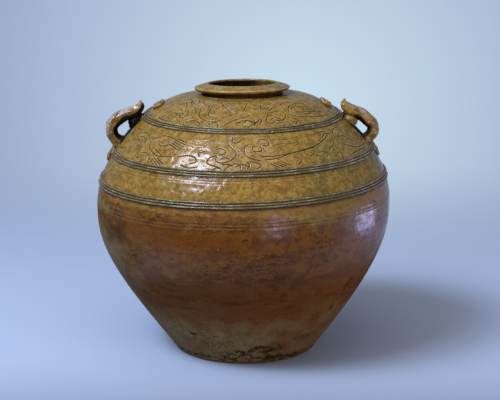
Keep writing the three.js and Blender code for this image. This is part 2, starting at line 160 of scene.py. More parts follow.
def round_axis(radius: np.ndarray | float, azimuth: np.ndarray, height: np.ndarray | float) -> np.ndarray:
    """Points x = radius sin(azimuth), y = -radius cos(azimuth), z = height. The three broadcast together."""
    spots = np.broadcast_arrays(radius * np.sin(azimuth), -radius * np.cos(azimuth), height)
    return np.stack(spots, axis=-1)


def full_circle(columns: int) -> np.ndarray:
    """A row of azimuths evenly round the jar."""
    return np.linspace(0, TURN, columns, endpoint=False)[None, :]


# The thrown wall


@dataclass
class JarWall:
    """Outer face of the wall: two cubic curves from the foot to the neck's seat, then a line to the mouth."""

    foot_radius: float = 83.5
    foot_flare: float = 38.1
    foot_flare_reach: float = 152.0
    belly_radius: float = 175.0
    belly_height: float = 182.0
    belly_reach_down: float = 32.0
    belly_reach_up: float = 61.4
    seat_radius: float = 67.0
    seat_height: float = 308.2
    seat_slope: float = 2.6
    seat_reach: float = 34.8
    mouth_radius: float = 40.0
    thickness: float = 8.5
    shrinkage: float = 0.52
    samples: int = 1500
    line_stride: int = 25
    track: np.ndarray = field(init=False, repr=False)

    def __post_init__(self) -> None:
        """Walks the curves once. The track's rows are slope distance, radius, height and direction.

        A cubic with corners a, b, c and d is (1 - t)^3 a + 3 (1 - t)^2 t b + 3 (1 - t) t^2 c + t^3 d.
        """
        flare, slope = math.radians(self.foot_flare), math.radians(self.seat_slope)
        reach = self.foot_flare_reach
        foot = (self.foot_radius, 0)
        flared = (self.foot_radius + reach * math.sin(flare), reach * math.cos(flare))
        below = (self.belly_radius, self.belly_height - self.belly_reach_down)
        belly = (self.belly_radius, self.belly_height)
        above = (self.belly_radius, self.belly_height + self.belly_reach_up)
        reach = self.seat_reach
        outside = (self.seat_radius + reach * math.cos(slope), self.seat_height - reach * math.sin(slope))
        seat = (self.seat_radius, self.seat_height)
        mouth = (self.mouth_radius, self.seat_height + self.mouth_rise)
        share = np.linspace(0, 1, self.samples)[:, None]
        keep = 1 - share
        runs = []
        for a, b, c, d in np.array([(foot, flared, below, belly), (belly, above, outside, seat)]):
            runs.append(keep**3 * a + 3 * keep**2 * share * b + 3 * keep * share**2 * c + share**3 * d)
        line = np.array(seat) + (np.array(mouth) - np.array(seat)) * share[1 :: self.line_stride]
        path = np.vstack([runs[0], runs[1][1:], line])
        walked = np.concatenate([[0], np.cumsum(np.linalg.norm(np.diff(path, axis=0), axis=1))])
        self.track = np.vstack([walked, path.T, unit(np.gradient(path, walked, axis=0)).T])

    @property
    def mouth_rise(self) -> float:
        """Height of the mouth's edge above the neck's seat."""
        return (self.seat_radius - self.mouth_radius) * math.tan(math.radians(self.seat_slope))

    @property
    def mouth(self) -> float:
        """Slope distance of the mouth's edge."""
        return float(self.track[0, -1])

    def shoulder_height(self, share: float) -> float:
        """Height at a share of the way from the belly up to the neck's seat."""
        return self.belly_height + share * (self.seat_height - self.belly_height)

    def slope_at(self, height: float) -> float:
        """Slope distance at a height."""
        return float(np.interp(height, self.track[2], self.track[0]))

    def at(self, slope: np.ndarray) -> list[np.ndarray]:
        """Radius, height and the two parts of the direction at slope distances."""
        return [np.interp(slope, self.track[0], row) for row in self.track[1:]]

    def offset(self, azimuth: np.ndarray, slope: np.ndarray, lift: np.ndarray | float = 0.0) -> np.ndarray:
        """Points off the true face, lifted square to it, before the jar settles."""
        radius, height, run, rise = self.at(slope)
        return round_axis(radius + rise * lift, azimuth, height - run * lift)

    def unevenness(self, azimuth: np.ndarray, slope: np.ndarray) -> np.ndarray:
        """How far the hand-thrown face stands off the true one: broad waves, finger dents, throwing rings.

        Args:
            azimuth: Azimuths in radians.
            slope: Slope distances.

        Returns:
            Distances, all below zero, so that the face stays within the true one.
        """
        point = self.offset(azimuth, slope)
        broad = 0.24 * ripple(point, 140, 11, 10)
        dents = 0.09 * ripple(point, 24, 12, 12)
        finger_marks = 0.035 * ease(slope, 150, 250) * ripple(point, 9, 14, 20)
        rings = 0.05 * np.sin(TURN * (slope / 9 + 0.3 * ripple(point, 160, 13, 8)))
        return broad + dents + finger_marks + rings - self.shrinkage

    def place(self, azimuth: np.ndarray, slope: np.ndarray, lift: np.ndarray) -> np.ndarray:
        """Points lifted square to the uneven face, as the kiln left them. Azimuths and slopes broadcast."""
        azimuth, slope = np.broadcast_arrays(azimuth, slope)
        return settled(self.offset(azimuth, slope, lift + self.unevenness(azimuth, slope)))

    def inner_points(self, azimuth: np.ndarray, slope: np.ndarray) -> np.ndarray:
        """Points on the inner face, one wall thickness in, and never inside the mouth's cylinder."""
        radius, height, run, rise = self.at(slope)
        reach = np.maximum(radius - rise * self.thickness, self.mouth_radius)
        return settled(round_axis(reach, azimuth, height + run * self.thickness))


WALL = JarWall()

# Heights of the three bands of clay strips, with the name and the noise seed of each, and of the lip's edge
UPPER_BAND, MIDDLE_BAND, LOWER_BAND = (WALL.shoulder_height(share) for share in (0.812, 0.488, 0.2345))
BANDS = (("upper", UPPER_BAND, 80), ("middle", MIDDLE_BAND, 110), ("lower", LOWER_BAND, 140))
LIP_RISE = 6.6
LIP_EDGE = WALL.seat_height + WALL.mouth_rise + LIP_RISE

# How the jar settled in the kiln: tilt of its rings at the foot, each band and the lip, tilt of its mouth
# towards the back, both in degrees, and its lean to the left as a share of the height
RING_TILTS = (0.0, 1.4, 0.95, 0.35, 0.8)
MOUTH_TILT = 2.8
LEAN = 0.0092


def settled(points: np.ndarray) -> np.ndarray:
    """Moves points as the jar settled: it leans, its rings rise to the right and its mouth tips back.

    Args:
        points: Points in the last axis.

    Returns:
        The moved points.
    """
    x, y, z = np.moveaxis(points, -1, 0)
    levels = (0.0, LOWER_BAND, MIDDLE_BAND, UPPER_BAND, LIP_EDGE)
    tilt = np.zeros_like(z)
    for low, high, before, after in zip(levels, levels[1:], RING_TILTS, RING_TILTS[1:]):
        tilt = np.where(z >= low, before + (after - before) * ease(z, low, high), tilt)
    back = MOUTH_TILT * ease(z, UPPER_BAND, LIP_EDGE)
    risen = z + np.tan(np.radians(tilt)) * x - np.tan(np.radians(back)) * y
    return np.stack([x - LEAN * z, y, risen], axis=-1)


# Meshes


@dataclass
class Skin:
    """A grid of points, closed round its columns, its rows or both, with channels: a value at each point."""

    points: np.ndarray
    channels: Channels
    round_closed: bool = True
    rows_closed: bool = False

    def faces(self) -> tuple[np.ndarray, list[np.ndarray]]:
        """Quads between neighbouring points, and one face over each open end, all pointing outwards.

        Returns:
            Rows of four corner numbers, and the corner numbers of each end face.
        """
        rows, columns = self.points.shape[:2]
        number = np.arange(rows * columns).reshape(rows, columns)
        tall = np.vstack([number, number[:1]]) if self.rows_closed else number
        wide = np.hstack([tall, tall[:, :1]]) if self.round_closed else tall
        quads = np.stack([wide[:-1, :-1], wide[:-1, 1:], wide[1:, 1:], wide[1:, :-1]], axis=-1).reshape(-1, 4)
        if not self.rows_closed:
            return quads, [number[0, ::-1], number[-1]]
        if not self.round_closed:
            return quads, [number[:, 0], number[::-1, -1]]
        return quads, []

    def build(self, name: str, finish: bpy.types.Material) -> bpy.types.Object:
        """Makes the mesh object, in metres, with smooth faces and crisp edges past 50 degrees.

        Args:
            name: Name of the piece.
            finish: Its material.

        Returns:
            The object, linked to the scene at the origin.
        """
        quads, ends = self.faces()
        corner = np.concatenate([quads.ravel(), *ends]).astype(np.int32)
        sizes = np.concatenate([np.full(len(quads), 4), [len(end) for end in ends]]).astype(np.int32)
        starts = np.concatenate([[0], np.cumsum(sizes)[:-1]]).astype(np.int32)
        flat = self.points.reshape(-1, 3) * METRES
        mesh = bpy.data.meshes.new(name)
        mesh.vertices.add(len(flat))
        mesh.vertices.foreach_set("co", flat.astype(np.float32).ravel())
        mesh.loops.add(len(corner))
        mesh.loops.foreach_set("vertex_index", corner)
        mesh.polygons.add(len(sizes))
        mesh.polygons.foreach_set("loop_start", starts)
        mesh.update(calc_edges=True)
        mesh.validate()
        if signed_volume(flat, quads) < 0:
            mesh.flip_normals()
        mesh.polygons.foreach_set("use_smooth", np.ones(len(mesh.polygons), dtype=bool))
        mesh.set_sharp_from_angle(angle=CREASE)
        for channel, values in self.channels.items():
            spread = np.broadcast_to(values, self.points.shape[:2]).astype(np.float32)
            mesh.attributes.new(channel, "FLOAT", "POINT").data.foreach_set("value", spread.ravel())
        mesh.materials.append(finish)
        return link(bpy.data.objects.new(name, mesh))


def link(made: bpy.types.Object) -> bpy.types.Object:
    """Links an object to the scene and returns it."""
    bpy.context.scene.collection.objects.link(made)
    return made


def signed_volume(points: np.ndarray, quads: np.ndarray) -> float:
    """Six times the volume that quads enclose with their centre, above zero where they point outwards."""
    a, b, c, d = (points[quads[:, corner]] - points.mean(axis=0) for corner in range(4))
    return float(np.einsum("ij,ij->", a, np.cross(b, c)) + np.einsum("ij,ij->", a, np.cross(c, d)))


def dress(piece: bpy.types.Object, slot: str, *nodes: str) -> None:
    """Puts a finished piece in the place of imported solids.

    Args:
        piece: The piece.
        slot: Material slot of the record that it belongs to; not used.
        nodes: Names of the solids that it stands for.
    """
    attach(piece, "root")
    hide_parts(*nodes)
    log.info("%s: %d faces, for %s", piece.name, len(piece.data.polygons), ", ".join(nodes))


# Finishes


def add_node(tree: bpy.types.NodeTree, kind: str, inputs: dict | None = None, **settings) -> bpy.types.Node:
    """Adds a node with its settings, values and links.

    Args:
        tree: The node tree.
        kind: Type name of the node.
        inputs: Value or feeding socket for each input, by name or number.
        settings: Attributes of the node.

    Returns:
        The node.
    """
    node = tree.nodes.new(kind)
    for name, value in settings.items():
        setattr(node, name, value)
    for place, value in (inputs or {}).items():
        if isinstance(value, bpy.types.NodeSocket):
            tree.links.new(value, node.inputs[place])
        else:
            node.inputs[place].default_value = value
    return node


def empty_tree(owner: bpy.types.Material | bpy.types.World) -> bpy.types.NodeTree:
    """Turns nodes on in a material or world and clears them.

    Args:
        owner: The material or world.

    Returns:
        Its node tree.
    """
    owner.use_nodes = True
    owner.node_tree.nodes.clear()
    return owner.node_tree


@dataclass(frozen=True)
class Layer:
    """A colour that lies over the glaze where a channel says so, in patches where it has a size.

    A patch shows where noise of that size, less half of what the channel lacks, is above a level.
    """

    colour: str
    channel: str = ""
    amount: float = 1.0
    size: float = 0.0
    level: float = 0.5
    soft: float = 0.08
    flat: float = 1.0


@dataclass(frozen=True)
class Specks:
    """Dots scattered in the glaze: one in each cell of a given size, where the cell's dot is large enough."""

    colour: str
    cell: float
    reach: float
    shift: float
    amount: float


@dataclass(frozen=True)
class Glaze:
    """Fired surface of the jar: a ground colour, layers over it, specks, gloss and an orange-peel relief."""

    name: str
    ground: str
    layers: tuple[Layer, ...]
    specks: tuple[Specks, ...]
    grain: float = 1.6
    grain_depth: float = 0.07
    dimple: float = 6.5
    dimple_depth: float = 0.4
    contrast: float = 0.22
    smooth: float = 0.1
    rough: float = 0.28
    bare_rough: float = 0.6
    bare_shine: float = 0.12

    def noise(
        self,
        tree: bpy.types.NodeTree,
        place: bpy.types.NodeSocket,
        size: float,
        flat: float = 1.0,
        detail: float = 4.0,
    ) -> bpy.types.NodeSocket:
        """Noise of a size in mm, read in Object coordinates, so that its scale is 1000 / size.

        Args:
            tree: The node tree.
            place: Socket of the Object coordinates.
            size: Size of its waves.
            flat: How many times lower than wide its patches are.
            detail: How many finer waves lie over the main ones.

        Returns:
            Socket of the noise, mostly from 0.25 to 0.75.
        """
        pressed = add_node(tree, "ShaderNodeMapping", {"Vector": place, "Scale": (1, 1, flat)}).outputs[0]
        waves = {
            "Vector": pressed,
            "Scale": 1000 / size,
            "Detail": detail,
            "Roughness": 0.6,
            "Distortion": 0.4,
        }
        return add_node(tree, "ShaderNodeTexNoise", waves).outputs[0]

    def layered(self, tree: bpy.types.NodeTree, place: bpy.types.NodeSocket) -> object:
        """Lays the layers over the ground colour, the first one lowest.

        Args:
            tree: The node tree.
            place: Socket of the Object coordinates.

        Returns:
            The colour, as a value or a socket.
        """
        tone: object = linear(self.ground)
        for layer in self.layers:
            cover: object = 1.0
            if layer.channel:
                cover = add_node(tree, "ShaderNodeAttribute", attribute_name=layer.channel).outputs["Fac"]
            if layer.size:
                lacking = {0: cover, 1: 0.0, 2: 1.0, 3: -0.5, 4: 0.0}
                lack = add_node(tree, "ShaderNodeMapRange", lacking).outputs[0]
                patches = self.noise(tree, place, layer.size, layer.flat)
                level = add_node(tree, "ShaderNodeMath", {0: patches, 1: lack}, operation="ADD").outputs[0]
                edge = {0: level, 1: layer.level - layer.soft, 2: layer.level + layer.soft}
                cover = add_node(tree, "ShaderNodeMapRange", edge, interpolation_type="SMOOTHSTEP").outputs[0]
            thinned = {0: cover, 1: layer.amount}
            share = add_node(tree, "ShaderNodeMath", thinned, operation="MULTIPLY", use_clamp=True).outputs[0]
            colours = {0: share, 6: tone, 7: linear(layer.colour)}
            tone = add_node(tree, "ShaderNodeMix", colours, data_type="RGBA").outputs[2]
        return tone

    def speckled(self, tree: bpy.types.NodeTree, place: bpy.types.NodeSocket, tone: object) -> object:
        """Scatters the specks over a colour.

        Args:
            tree: The node tree.
            place: Socket of the Object coordinates.
            tone: The colour.

        Returns:
            The colour with its specks.
        """
        for dots in self.specks:
            moved = {"Vector": place, "Location": (dots.shift, 0, dots.shift)}
            shifted = add_node(tree, "ShaderNodeMapping", moved).outputs[0]
            cells = add_node(tree, "ShaderNodeTexVoronoi", {"Vector": shifted, "Scale": 1000 / dots.cell})
            chance = add_node(tree, "ShaderNodeSeparateColor", {0: cells.outputs["Color"]}).outputs[0]
            spread = {0: chance, 1: 0.55, 2: 1.0, 3: 0.0, 4: dots.reach / dots.cell}
            size = add_node(tree, "ShaderNodeMapRange", spread).outputs[0]
            depth = {0: size, 1: cells.outputs["Distance"]}
            inside = add_node(tree, "ShaderNodeMath", depth, operation="SUBTRACT").outputs[0]
            edge = {0: inside, 1: 0.0, 2: 0.06, 3: 0.0, 4: dots.amount}
            spot = add_node(tree, "ShaderNodeMapRange", edge).outputs[0]
            colours = {0: spot, 6: tone, 7: linear(dots.colour)}
            tone = add_node(tree, "ShaderNodeMix", colours, data_type="RGBA").outputs[2]
        return tone

    def material(self) -> bpy.types.Material:
        """Builds the material. The channel named bare makes it rougher and takes its shine.

        Returns:
            The material.
        """
        made = bpy.data.materials.new(self.name)
        tree = empty_tree(made)
        place = add_node(tree, "ShaderNodeTexCoord").outputs["Object"]
        tone = self.speckled(tree, place, self.layered(tree, place))
        grain = self.noise(tree, place, self.grain)
        dimple = self.noise(tree, place, self.dimple, detail=0.7)
        mottled = {0: grain, 1: 0.3, 2: 0.7, 3: 1 - self.contrast, 4: 1 + self.contrast}
        gain = add_node(tree, "ShaderNodeMapRange", mottled).outputs[0]
        tone = add_node(tree, "ShaderNodeVectorMath", {0: tone, 3: gain}, operation="SCALE").outputs[0]
        bare = add_node(tree, "ShaderNodeAttribute", attribute_name="bare").outputs["Fac"]
        melted = {0: dimple, 1: 0.35, 2: 0.65, 3: self.smooth, 4: self.rough}
        fired = add_node(tree, "ShaderNodeMapRange", melted).outputs[0]
        dulled = add_node(tree, "ShaderNodeMix", {0: bare, 2: fired, 3: self.bare_rough}).outputs[0]
        matt = {0: bare, 1: 0.0, 2: 1.0, 3: 0.5, 4: self.bare_shine}
        shine = add_node(tree, "ShaderNodeMapRange", matt).outputs[0]
        peel = add_node(tree, "ShaderNodeBump", {"Height": dimple, "Distance": self.dimple_depth * METRES})
        pits = {"Height": grain, "Distance": self.grain_depth * METRES, "Normal": peel.outputs[0]}
        relief = add_node(tree, "ShaderNodeBump", pits).outputs[0]
        sockets = {"Base Color": tone, "Roughness": dulled, "Specular IOR Level": shine, "Normal": relief}
        surface = add_node(tree, "ShaderNodeBsdfPrincipled", sockets)
        add_node(tree, "ShaderNodeOutputMaterial", {"Surface": surface.outputs[0]})
        return made


Finishes = dict[Glaze, bpy.types.Material]

# Wood-ash glaze, fired glossy: golden ochre where it is thick, olive on the side away from the lamp
ASH_GLAZE = Glaze(
    name="wood_ash_glaze",
    ground="#836420",
    layers=(
        Layer("#957329", size=34, amount=0.7),
        Layer("#754E17", size=16, level=0.55, amount=0.55, flat=1.6),
        Layer("#9E6F21", size=11, level=0.53, soft=0.1, amount=0.5, flat=1.3),
        Layer("#6C612B", "olive", size=30, level=0.4, soft=0.2, amount=0.85),
        Layer("#B39349", size=7.0, level=0.51, soft=0.08, amount=0.45),
        Layer("#563D14", size=5.5, level=0.55, soft=0.08, amount=0.45),
        # Bluish-grey painted reflection of the room on the upper shoulder and the lip
        Layer("#9C9889", "painted_sheen", size=12, level=0.5, soft=0.15, amount=0.6),
        # Pale raised edges of the cuts with painted highlights on them, and painted highlights on the lip and
        # along the shade in the loops
        Layer("#C0A768", "burr_and_highlight", 0.4),
        Layer("#24170A", "groove", 0.95),
        # Dark gathered glaze and painted shade, below the bands and under the lip
        Layer("#3A200C", "pool_and_shade", 0.85),
        # Near-black painted shade on the wall inside each lug's loop
        Layer("#0C0805", "painted_shade_in_loops", 0.98),
        # Inside the jar: dark clay, darkened further as painted shade
        Layer("#20130A", "inside"),
    ),
    specks=(Specks("#3A2712", 5.0, 1.0, 0.3, 0.7), Specks("#D8CDA0", 9.0, 0.9, 0.7, 0.6)),
    grain=1.8,
    grain_depth=0.035,
    contrast=0.3,
    dimple=9.0,
    dimple_depth=1.0,
    smooth=0.14,
    rough=0.26,
)

# The same glaze over the clay strips, thin on their crests and gathered between them, with a painted highlight
# on the crests and painted shade between them
STRIP_GLAZE = Glaze(
    name="wood_ash_glaze_on_strips",
    ground="#6B5A33",
    layers=(
        Layer("#7A6C47", size=12, amount=0.7),
        Layer("#625C3C", "olive", size=30, level=0.4, soft=0.2, amount=0.8),
        # Pale crests: thin glaze and a painted highlight
        Layer("#B2AA92", "crest", 0.6, size=9, level=0.42, soft=0.12),
        # Dark sides: gathered glaze and painted shade
        Layer("#20150A", "pool_and_shade", 0.92),
    ),
    specks=(Specks("#2E1F10", 4.0, 1.0, 0.2, 0.8), Specks("#D9D6BE", 3.2, 0.9, 0.9, 0.7)),
    dimple=4.0,
    dimple_depth=0.25,
)

# Iron-brown glaze of the belly, glossy above: golden veil, orange, freckled gold, then bare dark brown clay
IRON_GLAZE = Glaze(
    name="iron_brown_glaze",
    ground="#633C1C",
    layers=(
        Layer("#6D421D", size=26, amount=0.7, flat=1.5),
        Layer("#4A280F", size=18, level=0.58, amount=0.6, flat=3.0),
        Layer("#7F531C", "freckle", 0.85, size=14, level=0.4, soft=0.1, flat=1.6),
        Layer("#43200C", "freckle", 0.7, size=13, level=0.57, soft=0.08, flat=2.6),
        Layer("#44230C", "freckle", 0.7, size=2.8, level=0.52, soft=0.05, flat=1.6),
        Layer("#744014", "ember", 0.8, size=12, level=0.3, soft=0.3, flat=2.0),
        Layer("#97702A", "veil", 0.85, size=9, level=0.38, soft=0.2, flat=2.4),
        Layer("#8C7840", "haze", 0.85, size=12, level=0.38, soft=0.2, flat=1.4),
        Layer("#572F10", "ember", 0.6, size=2.2, level=0.55, soft=0.05, flat=1.4),
        Layer("#5E4014", "veil", 0.6, size=1.9, level=0.55, soft=0.05, flat=1.3),
        Layer("#83744F", "khaki", 0.75, size=30, level=0.37, soft=0.4),
        Layer("#4A3822", "khaki", 0.6, size=5, level=0.54, soft=0.08),
        Layer("#8A8062", "khaki", 0.5, size=2.2, level=0.57, soft=0.06),
        # Lilac-grey painted reflections of the lamps, in clouds on the belly
        Layer("#8C8280", "painted_sheen", 0.4, size=16, level=0.4, soft=0.3),
        # Darker brown clouds on the belly
        Layer("#44230F", "dark_brown_clouds", 0.8, size=22, level=0.4, soft=0.25, flat=1.6),
        # Near-black patches, and darker towards the foot
        Layer("#1F130B", "dark_patches", 0.85, size=7, level=0.45, soft=0.1, flat=1.4),
        # Pale edges of the scored lines, with a painted highlight on them
        Layer("#A58A4C", "burr_and_highlight", 0.4),
        Layer("#24140A", "groove", 0.75),
        # Dark gathered glaze and painted shade below the lower band
        Layer("#3C1A08", "pool_and_shade", 0.85),
        # Inside the jar: dark clay, darkened further as painted shade
        Layer("#24160E", "inside"),
    ),
    specks=(Specks("#C9B48A", 10.0, 0.9, 0.5, 0.7), Specks("#1E1008", 6.0, 1.1, 0.1, 0.7)),
    grain=1.3,
    dimple=9.0,
    dimple_depth=0.4,
    smooth=0.12,
    rough=0.3,
    bare_shine=0.02,
)

# Ash glaze on the handled lugs, glossy and thin: golden brown, rusty where the clay shows, and nearly black
# below, which is painted shade; the pale patches on top are painted highlights
LUG_GLAZE = Glaze(
    name="wood_ash_glaze_on_lugs",
    ground="#6E4F20",
    layers=(
        Layer("#9C7A3A", size=11, level=0.45, amount=0.8),
        Layer("#5E3A1E", "rust", 0.55, size=8, level=0.47, soft=0.12),
        # Pale painted highlights and reflections on the lugs' tops and lumps
        Layer("#B8B0AC", "painted_sheen", 0.8, size=7, level=0.42, soft=0.12),
        # Pale painted highlights along the lugs' edges, on the horns' tops and on the right chin
        Layer("#C9AE78", "burr_and_highlight", 0.6, size=7, level=0.35, soft=0.2),
        # Near-black painted shade under the lugs, on the left chin and in their creases
        Layer("#0E0805", "pool_and_shade", 0.97),
    ),
    specks=(Specks("#2E1C0E", 4.5, 1.1, 0.6, 0.8), Specks("#E0D8B4", 5.0, 0.9, 0.2, 0.6)),
    dimple=4.5,
    dimple_depth=0.5,
    smooth=0.07,
    rough=0.24,
)


# Ornament, drawn in the leather-hard clay


class Cut(Enum):
    """How a stroke is worked into the clay: depth that the point is pressed to, and spacing of its marks."""

    LINE = (0.95, 0.3)
    FAINT = (0.55, 0.3)
    BEADS = (0.95, 1.9)

    @property
    def depth(self) -> float:
        """Depth that the point is pressed to."""
        return self.value[0]

    @property
    def spacing(self) -> float:
        """Distance from one mark of the point to the next."""
        return self.value[1]


@dataclass(frozen=True)
class Stroke:
    """A drawn line: knots of azimuth in degrees and rise above the register's lower edge."""

    knots: Knots
    cut: Cut = Cut.LINE

    def turned(self, angle: float) -> Stroke:
        """The same stroke further round the jar."""
        return Stroke(tuple((azimuth + angle, rise) for azimuth, rise in self.knots), self.cut)

    def path(self, base: float) -> tuple[np.ndarray, np.ndarray]:
        """Marks along the stroke.

        Args:
            base: Slope distance of the register's lower edge.

        Returns:
            Azimuths in radians and slope distances of the marks.
        """
        knots = np.array(self.knots)
        radius = float(WALL.at(base + knots[:, 1].mean())[0])
        flat = np.stack([np.radians(knots[:, 0]) * radius, knots[:, 1]], axis=-1)
        marks = smooth_path(flat, self.cut.spacing)
        return marks[:, 0] / radius, base + marks[:, 1]


def drawn(cut: Cut, *lines: Knots) -> tuple[Stroke, ...]:
    """Strokes of one kind of cut."""
    return tuple(Stroke(knots, cut) for knots in lines)


def ring(azimuth: float, rise: float, size: float, degree: float) -> Stroke:
    """A small closed ring.

    Args:
        azimuth: Azimuth of its centre, in degrees.
        rise: Rise of its centre.
        size: Its radius.
        degree: Millimetres to a degree of azimuth there.

    Returns:
        The stroke.
    """
    angles = np.linspace(0, TURN, 9)
    return Stroke(tuple(zip(azimuth + size / degree * np.cos(angles), rise + size * np.sin(angles))))


def comb(first: Knots, last: Knots, count: int) -> tuple[Stroke, ...]:
    """Side by side strokes, from a first to a last.

    Args:
        first: The two ends of the first stroke.
        last: The two ends of the last.
        count: How many there are.

    Returns:
        The strokes.
    """
    shares = np.linspace(0, 1, count)[:, None, None]
    blends = (1 - shares) * np.array(first) + shares * np.array(last)
    return drawn(Cut.LINE, *(tuple(map(tuple, ends)) for ends in blends))

# Scrolls, lobes and beaded stems round the neck
UPPER_SCROLLS: tuple[Stroke, ...] = (
    *drawn(
        Cut.LINE,
        ((-59, 48), (-52, 44), (-45, 39), (-41, 37), (-40, 41), (-45, 48)),
        ((-42, 24), (-40, 18), (-40, 13), (-43, 11), (-46, 15), (-46, 18), (-43, 17)),
        ((-45, 32), (-39, 30), (-35, 24), (-34, 18), (-36, 13), (-39, 10)),
        ((-29, 28), (-31, 23), (-30, 17), (-26, 12), (-22, 10), (-17, 10), (-13, 13)),
        ((-24, 31), (-24, 25), (-24, 20), (-22, 17), (-19, 17)),
        ((-37, 6), (-34, 9), (-31, 9), (-27, 6), (-27, 1)),
        ((-43, 8), (-41, 3), (-38, 1), (-36, 1)),
        ((-23, 6), (-22, 8), (-20, 5), (-21, 2)),
        ((-19, 7), (-17, 9), (-15, 6), (-15, 2)),
        ((-13, 1), (-10, 6), (-6, 12), (-2, 15), (5, 20)),
        ((-19, 45), (-16, 38), (-13, 33), (-9, 30)),
        ((-37, 44), (-32, 38), (-28, 38), (-23, 41)),
        ((4, 43), (1, 27)),
        ((15, 39), (14, 29)),
        ((18, 20), (16, 15), (15, 9), (17, 7), (20, 8), (21, 11), (20, 14), (18, 11)),
        ((20, 22), (27, 24), (30, 20), (29, 14), (26, 10), (22, 10)),
        ((21, 19), (22, 15), (25, 12)),
        ((56, 30), (47, 33), (39, 31), (35, 25), (34, 18), (38, 13), (45, 10), (54, 8), (68, 5)),
        ((50, 27), (43, 29), (38, 25), (37, 21)),
        ((31, 8), (34, 3), (32, 0)),
        ((21, 6), (25, 7), (26, 4), (25, 1)),
        ((-68, 10), (-72, 15), (-69, 23)),
        ((-63, 4), (-55, 3), (-48, 4), (-45, 8)),
        ((7, 14), (8, 9), (7, 4)),
        ((-3, 8), (0, 12), (4, 12), (7, 10)),
        ((50, 42), (59, 36), (66, 27), (70, 16)),
        ((-86, 12), (-80, 18), (-76, 28), (-80, 34)),
        ((76, 8), (82, 14), (84, 24), (78, 28), (75, 22)),
        ((-55, 38), (-50, 34), (-47, 29)),
        ((-50, 41), (-46, 36), (-44, 34)),
        ((-33, 33), (-30, 36), (-27, 34), (-27, 30)),
        ((-26, 36), (-21, 34), (-17, 36), (-14, 40)),
        ((-12, 24), (-9, 26), (-6, 24)),
        ((0, 5), (3, 3), (6, 6), (9, 10)),
        ((10, 20), (12, 15), (12, 10), (10, 6)),
        ((31, 34), (36, 38), (43, 38), (48, 34)),
        ((40, 22), (44, 17), (51, 13)),
        ((-56, 12), (-52, 16), (-48, 14), (-48, 10)),
        ((-64, 28), (-60, 34), (-55, 36)),
        ((62, 24), (66, 18), (68, 12)),
        ((19, 36), (25, 38), (29, 34)),
        ((-42, 42), (-40, 45), (-37, 44), (-36, 41), (-38, 38)),
        ((-48, 44), (-45, 47), (-42, 44)),
        ((-34, 22), (-32, 26), (-33, 30)),
        ((-5, 14), (-3, 10), (1, 9), (3, 13), (6, 9), (9, 9), (11, 14)),
        ((26, 32), (22, 29), (20, 25)),
        ((12, 34), (16, 31), (21, 32)),
        ((-10, 29), (-5, 27), (0, 28)),
        ((33, 12), (36, 8), (34, 3)),
        ((-22, 28), (-20, 24), (-21, 21)),
        ((-50, 16), (-47, 21), (-50, 24)),
        ((28, 8), (30, 4), (28, 1)),
    ),
    *drawn(
        Cut.BEADS,
        ((-60, 20), (-61, 25), (-57, 28), (-51, 28), (-45, 27), (-42, 24)),
        ((-19, 20), (-16, 26), (-14, 30), (-13, 32)),
        ((-15, 3), (-13, 11), (-9, 15), (-4, 18), (1, 22), (7, 25), (13, 27), (18, 25)),
    ),
    *drawn(
        Cut.FAINT,
        ((-12, 44), (-9, 38), (-4, 34)),
        ((-12, 35), (-8, 33), (-3, 33)),
        ((45, 12), (52, 15), (60, 14), (66, 10)),
    ),
    ring(-37, 4, 2.2, 1.9),
    *comb(((46, 27), (57, 20)), ((44, 20), (62, 12)), 3),
)

